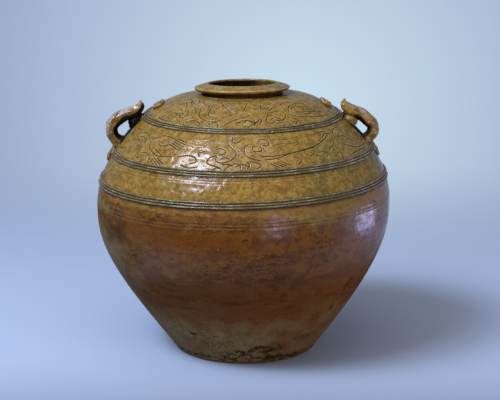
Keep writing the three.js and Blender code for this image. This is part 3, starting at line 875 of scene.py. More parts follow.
# Birds, leaves and waves between the upper and the middle band
MIDDLE_SCROLLS: tuple[Stroke, ...] = (
    *drawn(
        Cut.LINE,
        ((-73, 24), (-69, 31), (-61, 37), (-56, 34), (-54, 28), (-55, 21), (-57, 12)),
        ((-68, 21), (-63, 30), (-58, 29), (-57, 22), (-59, 14)),
        ((-66, 18), (-66, 23), (-62, 25), (-60, 22), (-61, 17)),
        ((-49, 34), (-52, 30), (-51, 22), (-47, 16), (-42, 12), (-37, 13), (-34, 14)),
        ((-49, 34), (-46, 38), (-41, 38), (-37, 36), (-36, 33), (-38, 29), (-41, 24), (-41, 21)),
        ((-47, 32), (-45, 26), (-42, 25), (-40, 28), (-40, 33)),
        ((-46, 20), (-42, 16), (-40, 13)),
        ((-55, 4), (-53, 7), (-54, 10), (-52, 13), (-49, 12), (-47, 9), (-47, 5), (-45, 2)),
        ((-13, 27), (-10, 28), (-8, 25), (-9, 21), (-11, 20)),
        ((-12, 19), (-15, 16), (-16, 10), (-14, 7), (-11, 5), (-9, 2)),
        ((-7, 34), (-5, 29), (-3, 23), (-4, 16), (-7, 11), (-10, 10), (-12, 13), (-12, 18)),
        ((-5, 44), (-5, 38), (-3, 36), (-1, 39), (1, 44)),
        ((-8, 1), (-6, 6), (-3, 9), (-1, 6), (-1, 1)),
        ((-13, 1), (-11, 4), (-9, 2)),
        ((3, 34), (1, 31), (1, 24), (2, 18), (5, 14), (8, 12)),
        ((8, 32), (9, 29), (9, 25), (6, 24), (5, 26), (5, 30), (7, 31)),
        ((5, 26), (6, 22), (8, 19), (13, 17), (19, 18), (28, 21), (33, 23), (38, 25), (45, 31), (50, 37)),
        ((8, 37), (9, 40), (11, 40), (13, 37), (13, 33), (12, 31), (10, 32)),
        ((10, 28), (11, 23)),
        ((10, 13), (16, 14), (23, 19), (30, 21), (36, 23)),
        ((2, 11), (3, 7), (2, 2)),
        ((3, 11), (6, 10), (8, 6), (6, 2)),
        ((30, 25), (30, 17), (32, 13), (34, 14), (36, 19)),
        ((31, 10), (32, 4), (34, 1)),
        ((48, 30), (50, 25), (46, 19), (44, 16), (44, 9), (46, 6), (49, 11), (51, 6), (50, 1)),
        ((63, 43), (56, 40), (54, 34), (54, 27), (52, 19)),
        ((61, 35), (56, 29), (56, 20), (60, 14), (66, 9), (78, 8)),
        ((61, 23), (65, 23), (64, 28)),
        ((58, 4), (64, 5), (73, 4)),
        ((-84, 10), (-79, 16), (-80, 24), (-85, 28)),
        ((80, 20), (84, 28), (80, 36)),
        ((-31, 14), (-26, 17), (-22, 15), (-21, 10), (-24, 7)),
        ((-28, 5), (-24, 2), (-20, 4)),
        ((-18, 24), (-21, 21), (-20, 17)),
        ((24, 14), (27, 9), (25, 4)),
        ((36, 12), (39, 8), (38, 3)),
        ((39, 17), (42, 12), (41, 8)),
        ((-3, 5), (0, 8), (3, 5)),
        ((40, 40), (45, 42), (50, 40)),
        ((67, 36), (71, 29), (72, 20)),
        ((66, 31), (68, 24)),
        ((-78, 30), (-74, 36), (-70, 38)),
        ((-80, 6), (-74, 8), (-70, 12)),
        ((44, 33), (48, 38), (52, 36), (52, 31)),
        ((-10, 14), (-8, 17), (-6, 15)),
        ((-9, 8), (-6, 8), (-4, 6)),
        ((57, 30), (61, 29), (62, 26)),
        ((46, 14), (48, 17), (47, 21)),
    ),
    *drawn(
        Cut.BEADS,
        ((-15, 30), (-13, 35), (-10, 39), (-6, 42), (-6, 39), (-5, 36)),
    ),
    *drawn(
        Cut.FAINT,
        ((-33, 33), (-25, 29), (-20, 29), (-18, 33), (-14, 35)),
        ((36, 33), (34, 29), (35, 24)),
        ((-30, 40), (-24, 36), (-18, 38), (-14, 42)),
        ((15, 30), (20, 33), (26, 32), (30, 35)),
        ((16, 40), (23, 38), (30, 40)),
        ((-64, 13), (-61, 17), (-59, 19)),
        ((-62, 12), (-59, 15), (-57, 17)),
        ((4, 19), (7, 17), (11, 16)),
        ((26, 28), (29, 31), (33, 32)),
        ((-2, 26), (-1, 22), (-2, 18)),
    ),
    ring(-44, 31, 2.2, 2.4),
    *comb(((-36, 38), (-29, 33)), ((-38, 28), (-31, 22)), 5),
    *comb(((-47, 8), (-42, 1)), ((-42, 10), (-37, 3)), 4),
    *comb(((12, 8), (16, 2)), ((17, 10), (21, 4)), 4),
)


@dataclass(frozen=True)
class Register:
    """A zone of ornament: its strokes, drawn once on the front and once more on the back."""

    base: float
    strokes: tuple[Stroke, ...]
    full_depth: float = 0.75
    groove_width: float = 0.5
    burr_away: float = 1.05
    burr_width: float = 0.4
    burr_share: float = 0.7
    reach: float = 3.2
    marks_at_once: int = 60

    def carve(self, azimuth: np.ndarray, slope: np.ndarray) -> tuple[np.ndarray, np.ndarray]:
        """Works out the drawn lines on a grid. A cut of full depth gives a groove of one.

        A line's groove is exp(-(distance / width)^2), and its raised edge, pale with a painted highlight, is a
        bell curve on both sides of it.

        Args:
            azimuth: Azimuth of each column, in radians.
            slope: Slope distance of each row.

        Returns:
            Groove and burr, from 0 up, one row for each slope distance.
        """
        groove, burr_and_highlight = np.zeros((2, len(slope), len(azimuth)))
        radius = WALL.at(slope)[0]
        side = self.reach / radius.min()
        for stroke in (*self.strokes, *(stroke.turned(180) for stroke in self.strokes)):
            marks, heights = stroke.path(self.base)
            columns = np.flatnonzero((azimuth > marks.min() - side) & (azimuth < marks.max() + side))
            rows = np.flatnonzero((slope > heights.min() - self.reach) & (slope < heights.max() + self.reach))
            if not len(columns) or not len(rows):
                continue
            near = np.full((len(rows), len(columns)), self.reach**2)
            for start in range(0, len(marks), self.marks_at_once):
                some = slice(start, start + self.marks_at_once)
                across = radius[rows][:, None, None] * (azimuth[columns][:, None] - marks[some])
                along = slope[rows][:, None, None] - heights[some]
                near = np.minimum(near, (across**2 + along**2).min(axis=-1))
            depth = stroke.cut.depth / self.full_depth
            rim = self.burr_share * depth * bump_at(np.sqrt(near), self.burr_away, self.burr_width)
            block = np.ix_(rows, columns)
            groove[block] = np.maximum(groove[block], depth * np.exp(-near / self.groove_width**2))
            burr_and_highlight[block] = np.maximum(burr_and_highlight[block], rim)
        return groove, burr_and_highlight * (1 - groove)


# Walls

# Height and depth share of each line scored round the jar on the wheel
SCORED_LINES = (
    (WALL.belly_height + 4.6, 0.8),
    (WALL.belly_height + 8.6, 0.65),
    (MIDDLE_BAND - 7.2, 0.6),
    (MIDDLE_BAND - 10, 0.4),
)

# Height of each band, strength of the glaze gathered at it, and how far that runs down
# The dark colour painted from these is gathered glaze and painted shade below the bands
POOLS = ((UPPER_BAND, 0.7, 1.5), (MIDDLE_BAND, 0.8, 1.9), (LOWER_BAND, 1.0, 4.4))

# Clouds of colour by channel. Each has a strength, an azimuth in degrees, a slope distance, half a width in
# degrees and half a height
CLOUDS = {
    # Lilac-grey painted reflections of the lamps on the belly
    "painted_sheen": ((1.0, 50, 203, 13, 17), (0.75, 14, 208, 9, 11), (0.3, 33, 212, 16, 14)),
    "haze": ((1.0, -78, 217, 26, 12),),
    "ember": ((1.0, -33, 198, 26, 15), (0.45, 44, 128, 16, 40), (0.5, -12, 196, 16, 10)),
    # Near-black patches low on the belly
    "dark_patches": (
        (1.0, -30, 53, 8, 5),
        (1.0, 13, 32, 11, 7),
        (1.0, -6, 22, 16, 6),
        (0.6, 24, 24, 26, 13),
        (0.5, 172, 60, 14, 12),
    ),
    # Darker brown clouds
    "dark_brown_clouds": ((1.0, -60, 192, 16, 22), (0.75, 4, 150, 48, 18), (0.7, 28, 44, 34, 22)),
}


def rows_between(low: float, high: float, step: float) -> np.ndarray:
    """Even slope distances from low to high, both among them, no further apart than the step."""
    return np.linspace(low, high, int(math.ceil((high - low) / step)) + 1)


@dataclass(frozen=True)
class GlazeCover:
    """How the glaze and the flying ash lie on the wall, with the light and shade painted on it, worked out at
    azimuths and slope distances.
    """

    azimuth: np.ndarray
    slope: np.ndarray
    band_half: float = 4.3
    under_band: float = 1.5
    scored_sway: float = 0.35
    scored_width: float = 0.42
    edge_width: float = 0.4
    edge_share: float = 0.7
    edge_below: float = 0.9
    freckles_end: float = 137.0
    pool_height: float = 0.1
    # Where the painted shade inside the lugs' loops starts and ends, its soft edge and its half width in
    # degrees
    shade_above_band: float = 8.5
    shade_below_band: float = 4.0
    shade_fringe: float = 1.5
    shade_half_degrees: float = 7.6

    def noise(self, size: float, seed: int) -> np.ndarray:
        """Soft noise on the wall."""
        return ripple(WALL.offset(self.azimuth, self.slope), size, seed)

    def degrees_from(self, azimuth: np.ndarray | float) -> np.ndarray:
        """Degrees from an azimuth to each column, from -180 to 180."""
        return (np.degrees(self.azimuth) - azimuth + 180) % 360 - 180

    def scored(self) -> tuple[np.ndarray, np.ndarray]:
        """Lines scored on the wheel, a little unsteady, deeper here and there, with a pale edge below each
        that carries a painted highlight.

        Returns:
            Groove and burr, from 0 to 1.
        """
        place = self.slope + self.scored_sway * self.noise(70, 31)
        press = np.clip(0.75 + 0.3 * self.noise(40, 32), 0.2, 1)
        lines, edges = [], []
        for height, share in SCORED_LINES:
            level = WALL.slope_at(height)
            lines.append(share * bump_at(place, level, self.scored_width))
            edges.append(self.edge_share * share * bump_at(place, level - self.edge_below, self.edge_width))
        return press * np.maximum.reduce(lines), np.maximum.reduce(edges)

    def lower_edge(self) -> np.ndarray:
        """Slope distance of the freckled glaze's lower edge: slow waves, and higher towards the right."""
        around = round_axis(120, self.azimuth, 0)
        waves = 6 * ripple(around, 130, 42, 8) + 3 * ripple(around, 35, 43)
        return self.freckles_end + waves + 9 * np.sin(self.azimuth)

    def thickness(self) -> np.ndarray:
        """Extra height of the glaze, gathered under the bands."""
        return self.pool_height * self.pools()

    def pools(self) -> np.ndarray:
        """Dark glaze gathered just below each band, with painted shade there, and less of it just above.

        Returns:
            Strength from 0 to 1.
        """
        reach = np.clip(1.0 + 0.45 * self.noise(18, 51) + 0.3 * self.noise(70, 52), 0.35, 2)
        gathered = []
        for height, depth, fringe in POOLS:
            from_band = self.slope - WALL.slope_at(height)
            for away, share, run in ((-from_band, depth, fringe), (from_band, 0.4 * depth, 1.1)):
                past = away - self.band_half
                gathered.append(share * np.where(past > -self.under_band, ease(past, run * reach, 0.0), 0))
        return np.maximum.reduce(gathered)

    def clouds(self, channel: str) -> np.ndarray:
        """Sum of a channel's clouds, each a bell curve of azimuth and slope distance about its centre.

        Args:
            channel: Name of the channel.

        Returns:
            Strength, from 0 up.
        """
        total = 0.0
        for strength, azimuth, slope, wide, tall in CLOUDS[channel]:
            turn = self.degrees_from(azimuth)
            total = total + strength * np.exp(-((turn / wide) ** 2) - ((self.slope - slope) / tall) ** 2)
        return total

    def under_lugs(self, small: np.ndarray) -> np.ndarray:
        """Painted shade, near black, on the wall inside each lug's loop, with a crisp and slightly wavy edge.

        Args:
            small: Fine noise, which moves the edge.

        Returns:
            Strength from 0 to 1.
        """
        aside = np.abs(np.abs(self.degrees_from(0.0)) - 90)
        low = WALL.slope_at(MIDDLE_BAND + self.shade_above_band)
        high = WALL.slope_at(UPPER_BAND - self.shade_below_band)
        tall = ease(self.slope, low, low + self.shade_fringe) * ease(self.slope, high, high - self.shade_fringe)
        return tall * ease(aside + 0.4 * small, self.shade_half_degrees + 1, self.shade_half_degrees)

    def streak(self, start: tuple[float, float], end: tuple[float, float], width: float) -> np.ndarray:
        """Soft dark line between two places on the wall: a bell curve of the degrees from it, with soft ends.

        Args:
            start: Azimuth in degrees and slope distance of its one end.
            end: The same of its other end.
            width: Half its width in degrees.

        Returns:
            Strength from 0 to 1.
        """
        share = (self.slope - start[1]) / (end[1] - start[1])
        turn = self.degrees_from(start[0] + np.clip(share, 0, 1) * (end[0] - start[0]))
        return np.exp(-((turn / width) ** 2)) * ease(np.abs(share - 0.5), 0.55, 0.45)

    def channels(self) -> Channels:
        """Every channel of the wall's glaze, painted light and shade among them.

        Returns:
            Values from 0 to 1 by channel name.
        """
        slope = self.slope
        across = WALL.offset(self.azimuth, slope)[..., 0]
        broad, patchy, small = self.noise(120, 61), self.noise(45, 62), self.noise(16, 63)
        below_band = WALL.slope_at(LOWER_BAND) - slope
        on_belly = ease(below_band, 0, 3)
        fringe = 19 + 14 * ease(across, -30, 90) + 3 * patchy
        veil = ease(below_band, fringe, 0.4 * fringe) * (0.95 + 0.2 * small)
        haze = ease(below_band, 56, 18) * ease(across, -10, 80) * (0.85 + 0.3 * patchy) + self.clouds("haze")
        left = 0.95 * ease(-across, 95, 170) * ease(slope, 20, 110) * ease(slope, 215, 180)
        paler_right = 1 - 0.35 * ease(across, -30, 50)
        foot = ease(slope, 112, 50) * (1.0 + 0.25 * patchy + 0.15 * small) * paler_right
        # Painted reflection of the room, patchy, high on the shoulder
        upper_sheen = ease(slope, 290, 380) * (0.25 + 0.5 * broad + 0.3 * small)
        crack = 0.9 * self.streak((53, 133), (48, 78), 1.9)
        bare_left = 0.9 * ease(-across, 90, 130) * ease(slope, 225, 205)
        found = {
            "olive": ease(across, -60, 120) + 0.25 * broad,
            "painted_sheen": np.where(on_belly > 0, self.clouds("painted_sheen") * on_belly, upper_sheen),
            "freckle": ease(slope - self.lower_edge(), -14, 18) * (0.9 + 0.3 * patchy),
            "ember": self.clouds("ember"),
            "veil": np.clip(veil, 0, 1) * on_belly,
            "haze": np.clip(haze, 0, 1) * on_belly,
            "khaki": np.maximum(left, foot),
            # Near-black patches, darker towards the foot, and a dark streak
            "dark_patches": self.clouds("dark_patches") + 0.8 * ease(slope, 22, 10) + crack,
            "dark_brown_clouds": self.clouds("dark_brown_clouds"),
            # Painted shade inside the lugs' loops
            "painted_shade_in_loops": self.under_lugs(small),
            # Gathered glaze and painted shade below the bands
            "pool_and_shade": self.pools(),
            "bare": np.maximum(ease(slope, 190, 120), bare_left),
        }
        return {name: np.clip(values, 0, 1) for name, values in found.items()}


@dataclass(frozen=True)
class WallZone:
    """A zone of the wall as a closed slab: the outer face in fine rows, the inner face in a few."""

    name: str
    node: str
    slot: str
    glaze: Glaze
    low: float
    high: float
    step: float
    columns: int = 640
    start: float = 0.0
    sweep: float = TURN
    register: Register | None = None
    inner_rows: int = 8
    ornament_end: float = 386.0
    plain_step: float = 2.0
    groove_depth: float = 0.5
    burr_height: float = 0.1

    def rows(self) -> np.ndarray:
        """Slope distances of the outer rows, coarser past the ornament.

        Returns:
            The distances, from low to high.
        """
        if self.high <= self.ornament_end:
            return rows_between(self.low, self.high, self.step)
        fine = rows_between(self.low, self.ornament_end, self.step)
        return np.concatenate([fine, rows_between(self.ornament_end, self.high, self.plain_step)[1:]])

    def skin(self) -> Skin:
        """Builds the slab's grid. The outer rows run up, the inner rows down.

        Returns:
            The skin, with its channels.
        """
        whole = self.sweep >= TURN
        azimuth = self.start + np.linspace(0, self.sweep, self.columns, endpoint=not whole)
        slope = self.rows()
        groove, burr_and_highlight = np.zeros((2, len(slope), len(azimuth)))
        if self.register:
            groove, burr_and_highlight = self.register.carve(azimuth, slope)
        azimuth, slope = azimuth[None, :], slope[:, None]
        cover = GlazeCover(azimuth, slope)
        scored, edges = cover.scored()
        groove, burr_and_highlight = np.maximum(groove, scored), np.maximum(burr_and_highlight, edges)
        lift = self.burr_height * burr_and_highlight - self.groove_depth * groove + cover.thickness()
        outer = WALL.place(azimuth, slope, lift)
        inner = WALL.inner_points(azimuth, np.linspace(self.high, self.low, self.inner_rows)[:, None])
        # The inner face is painted dark: dark clay and painted shade
        channels = {**cover.channels(), "groove": groove, "inside": np.zeros_like(groove)}
        painted_shade_in_loops = channels["painted_shade_in_loops"]
        # A pale painted highlight line along the edge of the painted shade in the loops
        channels["burr_and_highlight"] = np.maximum(burr_and_highlight, 3 * painted_shade_in_loops * (1 - painted_shade_in_loops))
        channels["bare"] = np.maximum.reduce([channels["bare"], 0.9 * np.clip(groove, 0, 1), painted_shade_in_loops])
        added = ((0, self.inner_rows), (0, 0))
        for name, values in channels.items():
            channels[name] = np.pad(values, added, constant_values=float(name == "inside"))
        return Skin(np.vstack([outer, inner]), channels, whole, rows_closed=True)


@dataclass(frozen=True)
class Walls:
    """The jar's wall and foot, piece by piece from the foot up."""

    belly_joint: float = 180.0
    base_thickness: float = 12.0
    foot_chamfer: float = 1.2
    foot_inset: float = 1.7
    slab_radius: float = 84.0
    slab_middle: float = 2.0
    birds_rise: float = 3.8
    scrolls_rise: float = 3.9
    plain_step: float = 1.5
    scored_step: float = 0.6
    columns: int = 640
    under_rows: int = 26
    over_rows: int = 6

    def zones(self) -> list[WallZone]:
        """Zones of the wall.

        Returns:
            The zones, from the foot up.
        """
        foot, joint = WALL.slope_at(self.base_thickness), WALL.slope_at(self.belly_joint)
        lower, middle, upper = (WALL.slope_at(height) for height in (LOWER_BAND, MIDDLE_BAND, UPPER_BAND))
        lower_wall, shoulder = ("lower_wall", "bare_stoneware"), ("shoulder_wall", "ash_glaze")
        plain, scored = self.plain_step, self.scored_step
        zones = [
            WallZone("lower_wall_dressed", *lower_wall, IRON_GLAZE, foot, joint, plain, inner_rows=24),
            WallZone("shoulder_belly_zone", *shoulder, IRON_GLAZE, joint, lower, scored),
            WallZone("shoulder_plain_zone", *shoulder, ASH_GLAZE, lower, middle, scored),
        ]
        birds = Register(middle + self.birds_rise, MIDDLE_SCROLLS)
        scrolls = Register(upper + self.scrolls_rise, UPPER_SCROLLS)
        for side, start in (("front", -math.pi / 2), ("back", math.pi / 2)):
            for kind, low, high, step, columns, register in (
                ("bird", middle, upper, 0.55, 840, birds),
                ("scroll", upper, WALL.mouth, 0.52, 720, scrolls),
            ):
                name, half = f"shoulder_{kind}_register_{side}", (columns, start, math.pi, register)
                zones.append(WallZone(name, *shoulder, ASH_GLAZE, low, high, step, *half))
        return zones

    def foot_slab(self) -> Skin:
        """Disc of the foot, from the middle of its underside out, up its edge and back to its middle.

        Returns:
            The skin, with a small face over each middle.
        """
        azimuth = full_circle(self.columns)
        top = self.base_thickness
        edge = rows_between(WALL.slope_at(self.foot_chamfer), WALL.slope_at(top), self.plain_step)[:, None]
        cover = GlazeCover(azimuth, edge)
        under = np.linspace(self.slab_middle, WALL.foot_radius - self.foot_inset, self.under_rows)[:, None]
        over = np.linspace(self.slab_radius, self.slab_middle, self.over_rows)[:, None]
        hollow = 0.25 * np.abs(np.sin(under / 7)) * ease(under, 82, 70)
        sole = settled(round_axis(under, azimuth, hollow))
        side = WALL.place(azimuth, edge, cover.thickness())
        points = np.vstack([sole, side, settled(round_axis(over, azimuth, top))])
        added = ((self.under_rows, self.over_rows), (0, 0))
        channels = {name: np.pad(values, added) for name, values in cover.channels().items()}
        for name in ("khaki", "bare"):
            channels[name][: self.under_rows] = 1.0
        return Skin(points, channels)

    def build(self, finishes: Finishes) -> None:
        """Builds and dresses the walls.

        Args:
            finishes: Materials by glaze.
        """
        slab = self.foot_slab().build("foot_slab_dressed", finishes[IRON_GLAZE])
        dress(slab, "bare_stoneware", "base_slab")
        for zone in self.zones():
            dress(zone.skin().build(zone.name, finishes[zone.glaze]), zone.slot, zone.node)


# Neck, lip and clay strips


@dataclass(frozen=True)
class NeckAndLip:
    """Short neck and everted lip, thrown in one."""

    neck_thickness: float = 6.8
    lip_radius: float = 57.2
    edge_thickness: float = 4.8
    crest_rise: float = 5.3
    droop: float = 0.9
    shrinkage: float = 0.45
    columns: int = 560

    def section(self) -> np.ndarray:
        """Closed section, from the foot of the neck's inside, out under the lip and over it.

        Returns:
            Rows of radius and height.
        """
        mouth, lip, half = WALL.mouth_radius, self.lip_radius, self.edge_thickness / 2
        neck = mouth + self.neck_thickness
        crest = LIP_EDGE + self.crest_rise
        seat = LIP_EDGE - LIP_RISE
        knots = [
            (mouth, seat + 0.3),
            (neck + 1.6, seat - 0.05),
            (neck + 0.5, seat + 1.0),
            (neck + 0.4, LIP_EDGE - half - 1.6),
            (neck + 1.6, LIP_EDGE - half - 0.9),
            (lip - 5, LIP_EDGE - 1.15 * half),
            (lip - 2.4, LIP_EDGE - 0.85 * half),
            (lip - 0.7, LIP_EDGE - 0.25 * half),
            (lip, LIP_EDGE + 0.35 * half),
            (lip - 0.4, LIP_EDGE + 0.62 * half),
            (lip - 1.8, LIP_EDGE + 0.85 * half),
            (lip - 7, LIP_EDGE + half + 0.9),
            (mouth + 3.6, crest - 0.5),
            (mouth + 1.5, crest),
            (mouth + 0.3, crest - 0.6),
            (mouth, crest - 1.5),
            (mouth, LIP_EDGE - 1),
            (mouth, seat + 0.3),
        ]
        return np.vstack([knots[0], smooth_path(np.array(knots[1:]), 0.55)[:-1]])

    def build(self, finishes: Finishes) -> None:
        """Builds and dresses the neck and lip.

        Args:
            finishes: Materials by glaze.
        """
        azimuth = full_circle(self.columns)
        radius, height = self.section().T[..., None]
        plain = round_axis(radius, azimuth, height)
        outer = ease(radius, 46, 56)
        sway = 0.35 * ripple(plain, 70, 71, 10) + 0.12 * ripple(plain, 14, 72)
        worn = np.clip(ripple(plain, 9, 73) - 0.75, 0, 1) * bump_at(radius, self.lip_radius, 2.2)
        reach = radius - outer * (self.shrinkage - sway) - 1.1 * worn
        level = height + 0.25 * sway - 0.5 * worn - self.droop * np.clip((radius - 44) / 13, 0, 1)
        # Painted highlights along the lip's outer edge and on the crest inside the mouth; worn chips are paler
        # too
        edge = bump_at(height, LIP_EDGE + 1.5, 0.9) * ease(radius, 54.6, 56.4)
        crest = bump_at(radius, WALL.mouth_radius + 1.6, 1.2) * ease(height, LIP_EDGE + 4, LIP_EDGE + 5)
        # Painted shade under the lip, where it overhangs the neck
        under = ease(height, LIP_EDGE - 0.6, LIP_EDGE - 2.0) * ease(radius, 43, 45)
        # Dark throat: dark clay with painted shade, less of it towards the right, where light falls in
        throat = ease(radius, 40.6, 40.1) * ease(height, LIP_EDGE + 4, LIP_EDGE + 2.6)
        channels = {
            "burr_and_highlight": np.clip(np.maximum(edge, crest) + worn, 0, 1),
            "pool_and_shade": under,
            "bare": 0.9 * under,
            "inside": throat * (1 - 0.5 * ease(plain[..., 0], 8, 36)),
            "olive": np.clip(ease(plain[..., 0], -60, 90) + 0.3 * ripple(plain, 40, 74), 0, 1),
            # Painted reflection of the room over most of the lip
            "painted_sheen": np.clip(0.6 + 0.5 * ripple(plain, 26, 75), 0, 1),
        }
        skin = Skin(settled(round_axis(reach, azimuth, level)), channels, rows_closed=True)
        dress(skin.build("neck_and_lip_dressed", finishes[ASH_GLAZE]), "ash_glaze", "neck_and_lip")


@dataclass(frozen=True)
class StripBand:
    """Three clay strips pressed on the wall side by side."""

    name: str
    height: float
    seed: int
    width: float = 2.5
    rise: float = 1.9
    pitch: float = 2.95
    sunk: float = 0.15
    base_share: float = 0.9
    base_lift: float = -0.8
    rows: int = 11
    columns: int = 640

    def skin(self, index: int) -> Skin:
        """One strip: half an ellipse on the wall, carried round with small changes of size.

        Args:
            index: Number of the strip in its band, from 0 at the bottom.

        Returns:
            The skin.
        """
        azimuth = full_circle(self.columns)
        centre = WALL.slope_at(self.height) + (index - 1) * self.pitch
        angle = np.linspace(0, math.pi, self.rows)[:, None]
        radius = float(WALL.at(centre)[0])
        around = np.stack([radius * np.sin(azimuth[0]), radius * np.cos(azimuth[0])], axis=-1)
        seed = self.seed + index
        sway = 0.22 * ripple(around, 60, seed, 10) + 0.1 * ripple(around, 9, seed + 3)
        plump = 1 + 0.07 * ripple(around, 24, seed + 6) + 0.06 * ripple(around, 5, seed + 9)
        nicks = np.clip(ripple(around, 6, seed + 12) - 0.85, 0, 1)
        tall = np.minimum(plump, 1.2) * (1 - 0.8 * nicks)
        bulge = np.sin(angle) + np.zeros_like(azimuth)
        across = -np.cos(angle) * self.width / 2 * np.minimum(plump, 1.12)
        lift = (self.rise + 2 * self.sunk) * bulge**0.75 * tall - self.sunk
        base = np.array([[1.0], [-1.0]]) * self.width / 2 * self.base_share + np.zeros_like(azimuth)
        slopes = centre + sway + np.vstack([across, base])
        lifts = np.pad(lift, ((0, 2), (0, 0)), constant_values=self.base_lift)
        points = WALL.place(azimuth, slopes, lifts)
        bulge = np.pad(bulge, ((0, 2), (0, 0)))
        channels = {
            # Pale crests carry a painted highlight, the dark sides painted shade
            "crest": np.clip(bulge**3 * (0.7 + 0.4 * ripple(around, 30, seed + 15)), 0, 1),
            "pool_and_shade": np.clip(1 - 2.2 * bulge, 0, 1),
            "olive": ease(points[..., 0], -110, 130),
        }
        return Skin(points, channels, rows_closed=True)

    def build(self, finishes: Finishes) -> None:
        """Builds and dresses the band's strips.

        Args:
            finishes: Materials by glaze.
        """
        for index in range(3):
            node = f"{self.name}_band_strip_{index + 1}"
            dress(self.skin(index).build(f"{node}_dressed", finishes[STRIP_GLAZE]), "ridge_glaze", node)


# Lugs

# Arch of the strap: share of the way from foot to head, and share of the arch's rise
ARCH = (
    (0.07, -0.3),
    (0.05, 0.15),
    (0.055, 0.5),
    (0.12, 0.79),
    (0.24, 0.97),
    (0.39, 1.0),
    (0.56, 0.94),
    (0.73, 0.81),
    (0.88, 0.65),
    (1.0, 0.53),
)

# Snout past the head: share of its reach, and share of its lift
SNOUT = ((0.42, 0.66), (0.6, 0.7), (0.77, 0.83), (0.96, 1.0))

# Share of the way along, width factor and thickness factor of the strap and of the tail
STRAP_TAPER = (
    (0.0, 0.74, 1.0),
    (0.12, 0.78, 1.0),
    (0.3, 0.93, 1.06),
    (0.45, 1.0, 1.12),
    (0.6, 1.0, 1.12),
    (0.75, 0.98, 1.04),
    (0.86, 0.9, 0.9),
    (0.91, 0.78, 0.74),
    (0.95, 0.56, 0.5),
    (1.0, 0.16, 0.12),
)
TAIL_TAPER = (
    (0.0, 0.8, 0.8),
    (0.25, 1.0, 0.95),
    (0.55, 0.94, 1.0),
    (0.8, 0.78, 0.86),
    (0.93, 0.6, 0.66),
    (0.985, 0.36, 0.45),
    (1.0, 0.12, 0.15),
)


@dataclass(frozen=True)
class LugTraits:
    """What sets one lug apart: its side, the seed of its finger marks, its arch and its colours.

    The painted highlight along the top of its strap is a bell along the strap: its middle, its half width and
    its strength. The right lug's chin is painted lit, pale gold with little rust, and the left one painted in
    shade.
    """

    name: str
    facing: int
    seed: int
    fuller: float
    crown_highlight: tuple[float, float, float]
    chin_rust_and_shade: float
    chin_highlight: float
    lit_jaw: bool


class LugSide(Enum):
    """The two sides of the jar where a lug stands."""

    # The right chin is painted lit, pale gold with little rust, the left one in painted shade
    RIGHT = LugTraits("right", 1, 200, -0.07, (0.68, 0.14, 0.6), chin_rust_and_shade=0.1, chin_highlight=0.5, lit_jaw=True)
    LEFT = LugTraits("left", -1, 300, 0.07, (0.58, 0.3, 1.0), chin_rust_and_shade=0.4, chin_highlight=0.0, lit_jaw=False)


def oval(count: int, squareness: float = 0.8) -> tuple[np.ndarray, np.ndarray, np.ndarray]:
    """Unit oval with softened corners.

    Args:
        count: How many points it has.
        squareness: Power of its cosine and sine, rounder towards one.

    Returns:
        Angle, and the cosine and sine to that power.
    """
    angle = (np.arange(count) + 0.5) / count * TURN
    cosine, sine = (np.sign(wave) * np.abs(wave) ** squareness for wave in (np.cos(angle), np.sin(angle)))
    return angle, cosine, sine


def side_plane(slope: np.ndarray | float) -> list[np.ndarray]:
    """Wall points, directions up the slope and directions outwards, in the right lug's plane.

    Args:
        slope: Slope distances.

    Returns:
        The three of them, with coordinates in the last axis.
    """
    radius, height, run, rise = WALL.at(slope)
    flat = np.zeros_like(radius)
    pairs = ((radius, height), (run, rise), (rise, -run))
    return [np.stack([across, flat, up], axis=-1) for across, up in pairs]


def swept(path: np.ndarray, *offsets: tuple[np.ndarray, np.ndarray]) -> np.ndarray:
    """Sections carried along a path. Each offset is a grid of distances and the direction that they go in."""
    return path[:, None] + sum(distance[..., None] * direction for distance, direction in offsets)


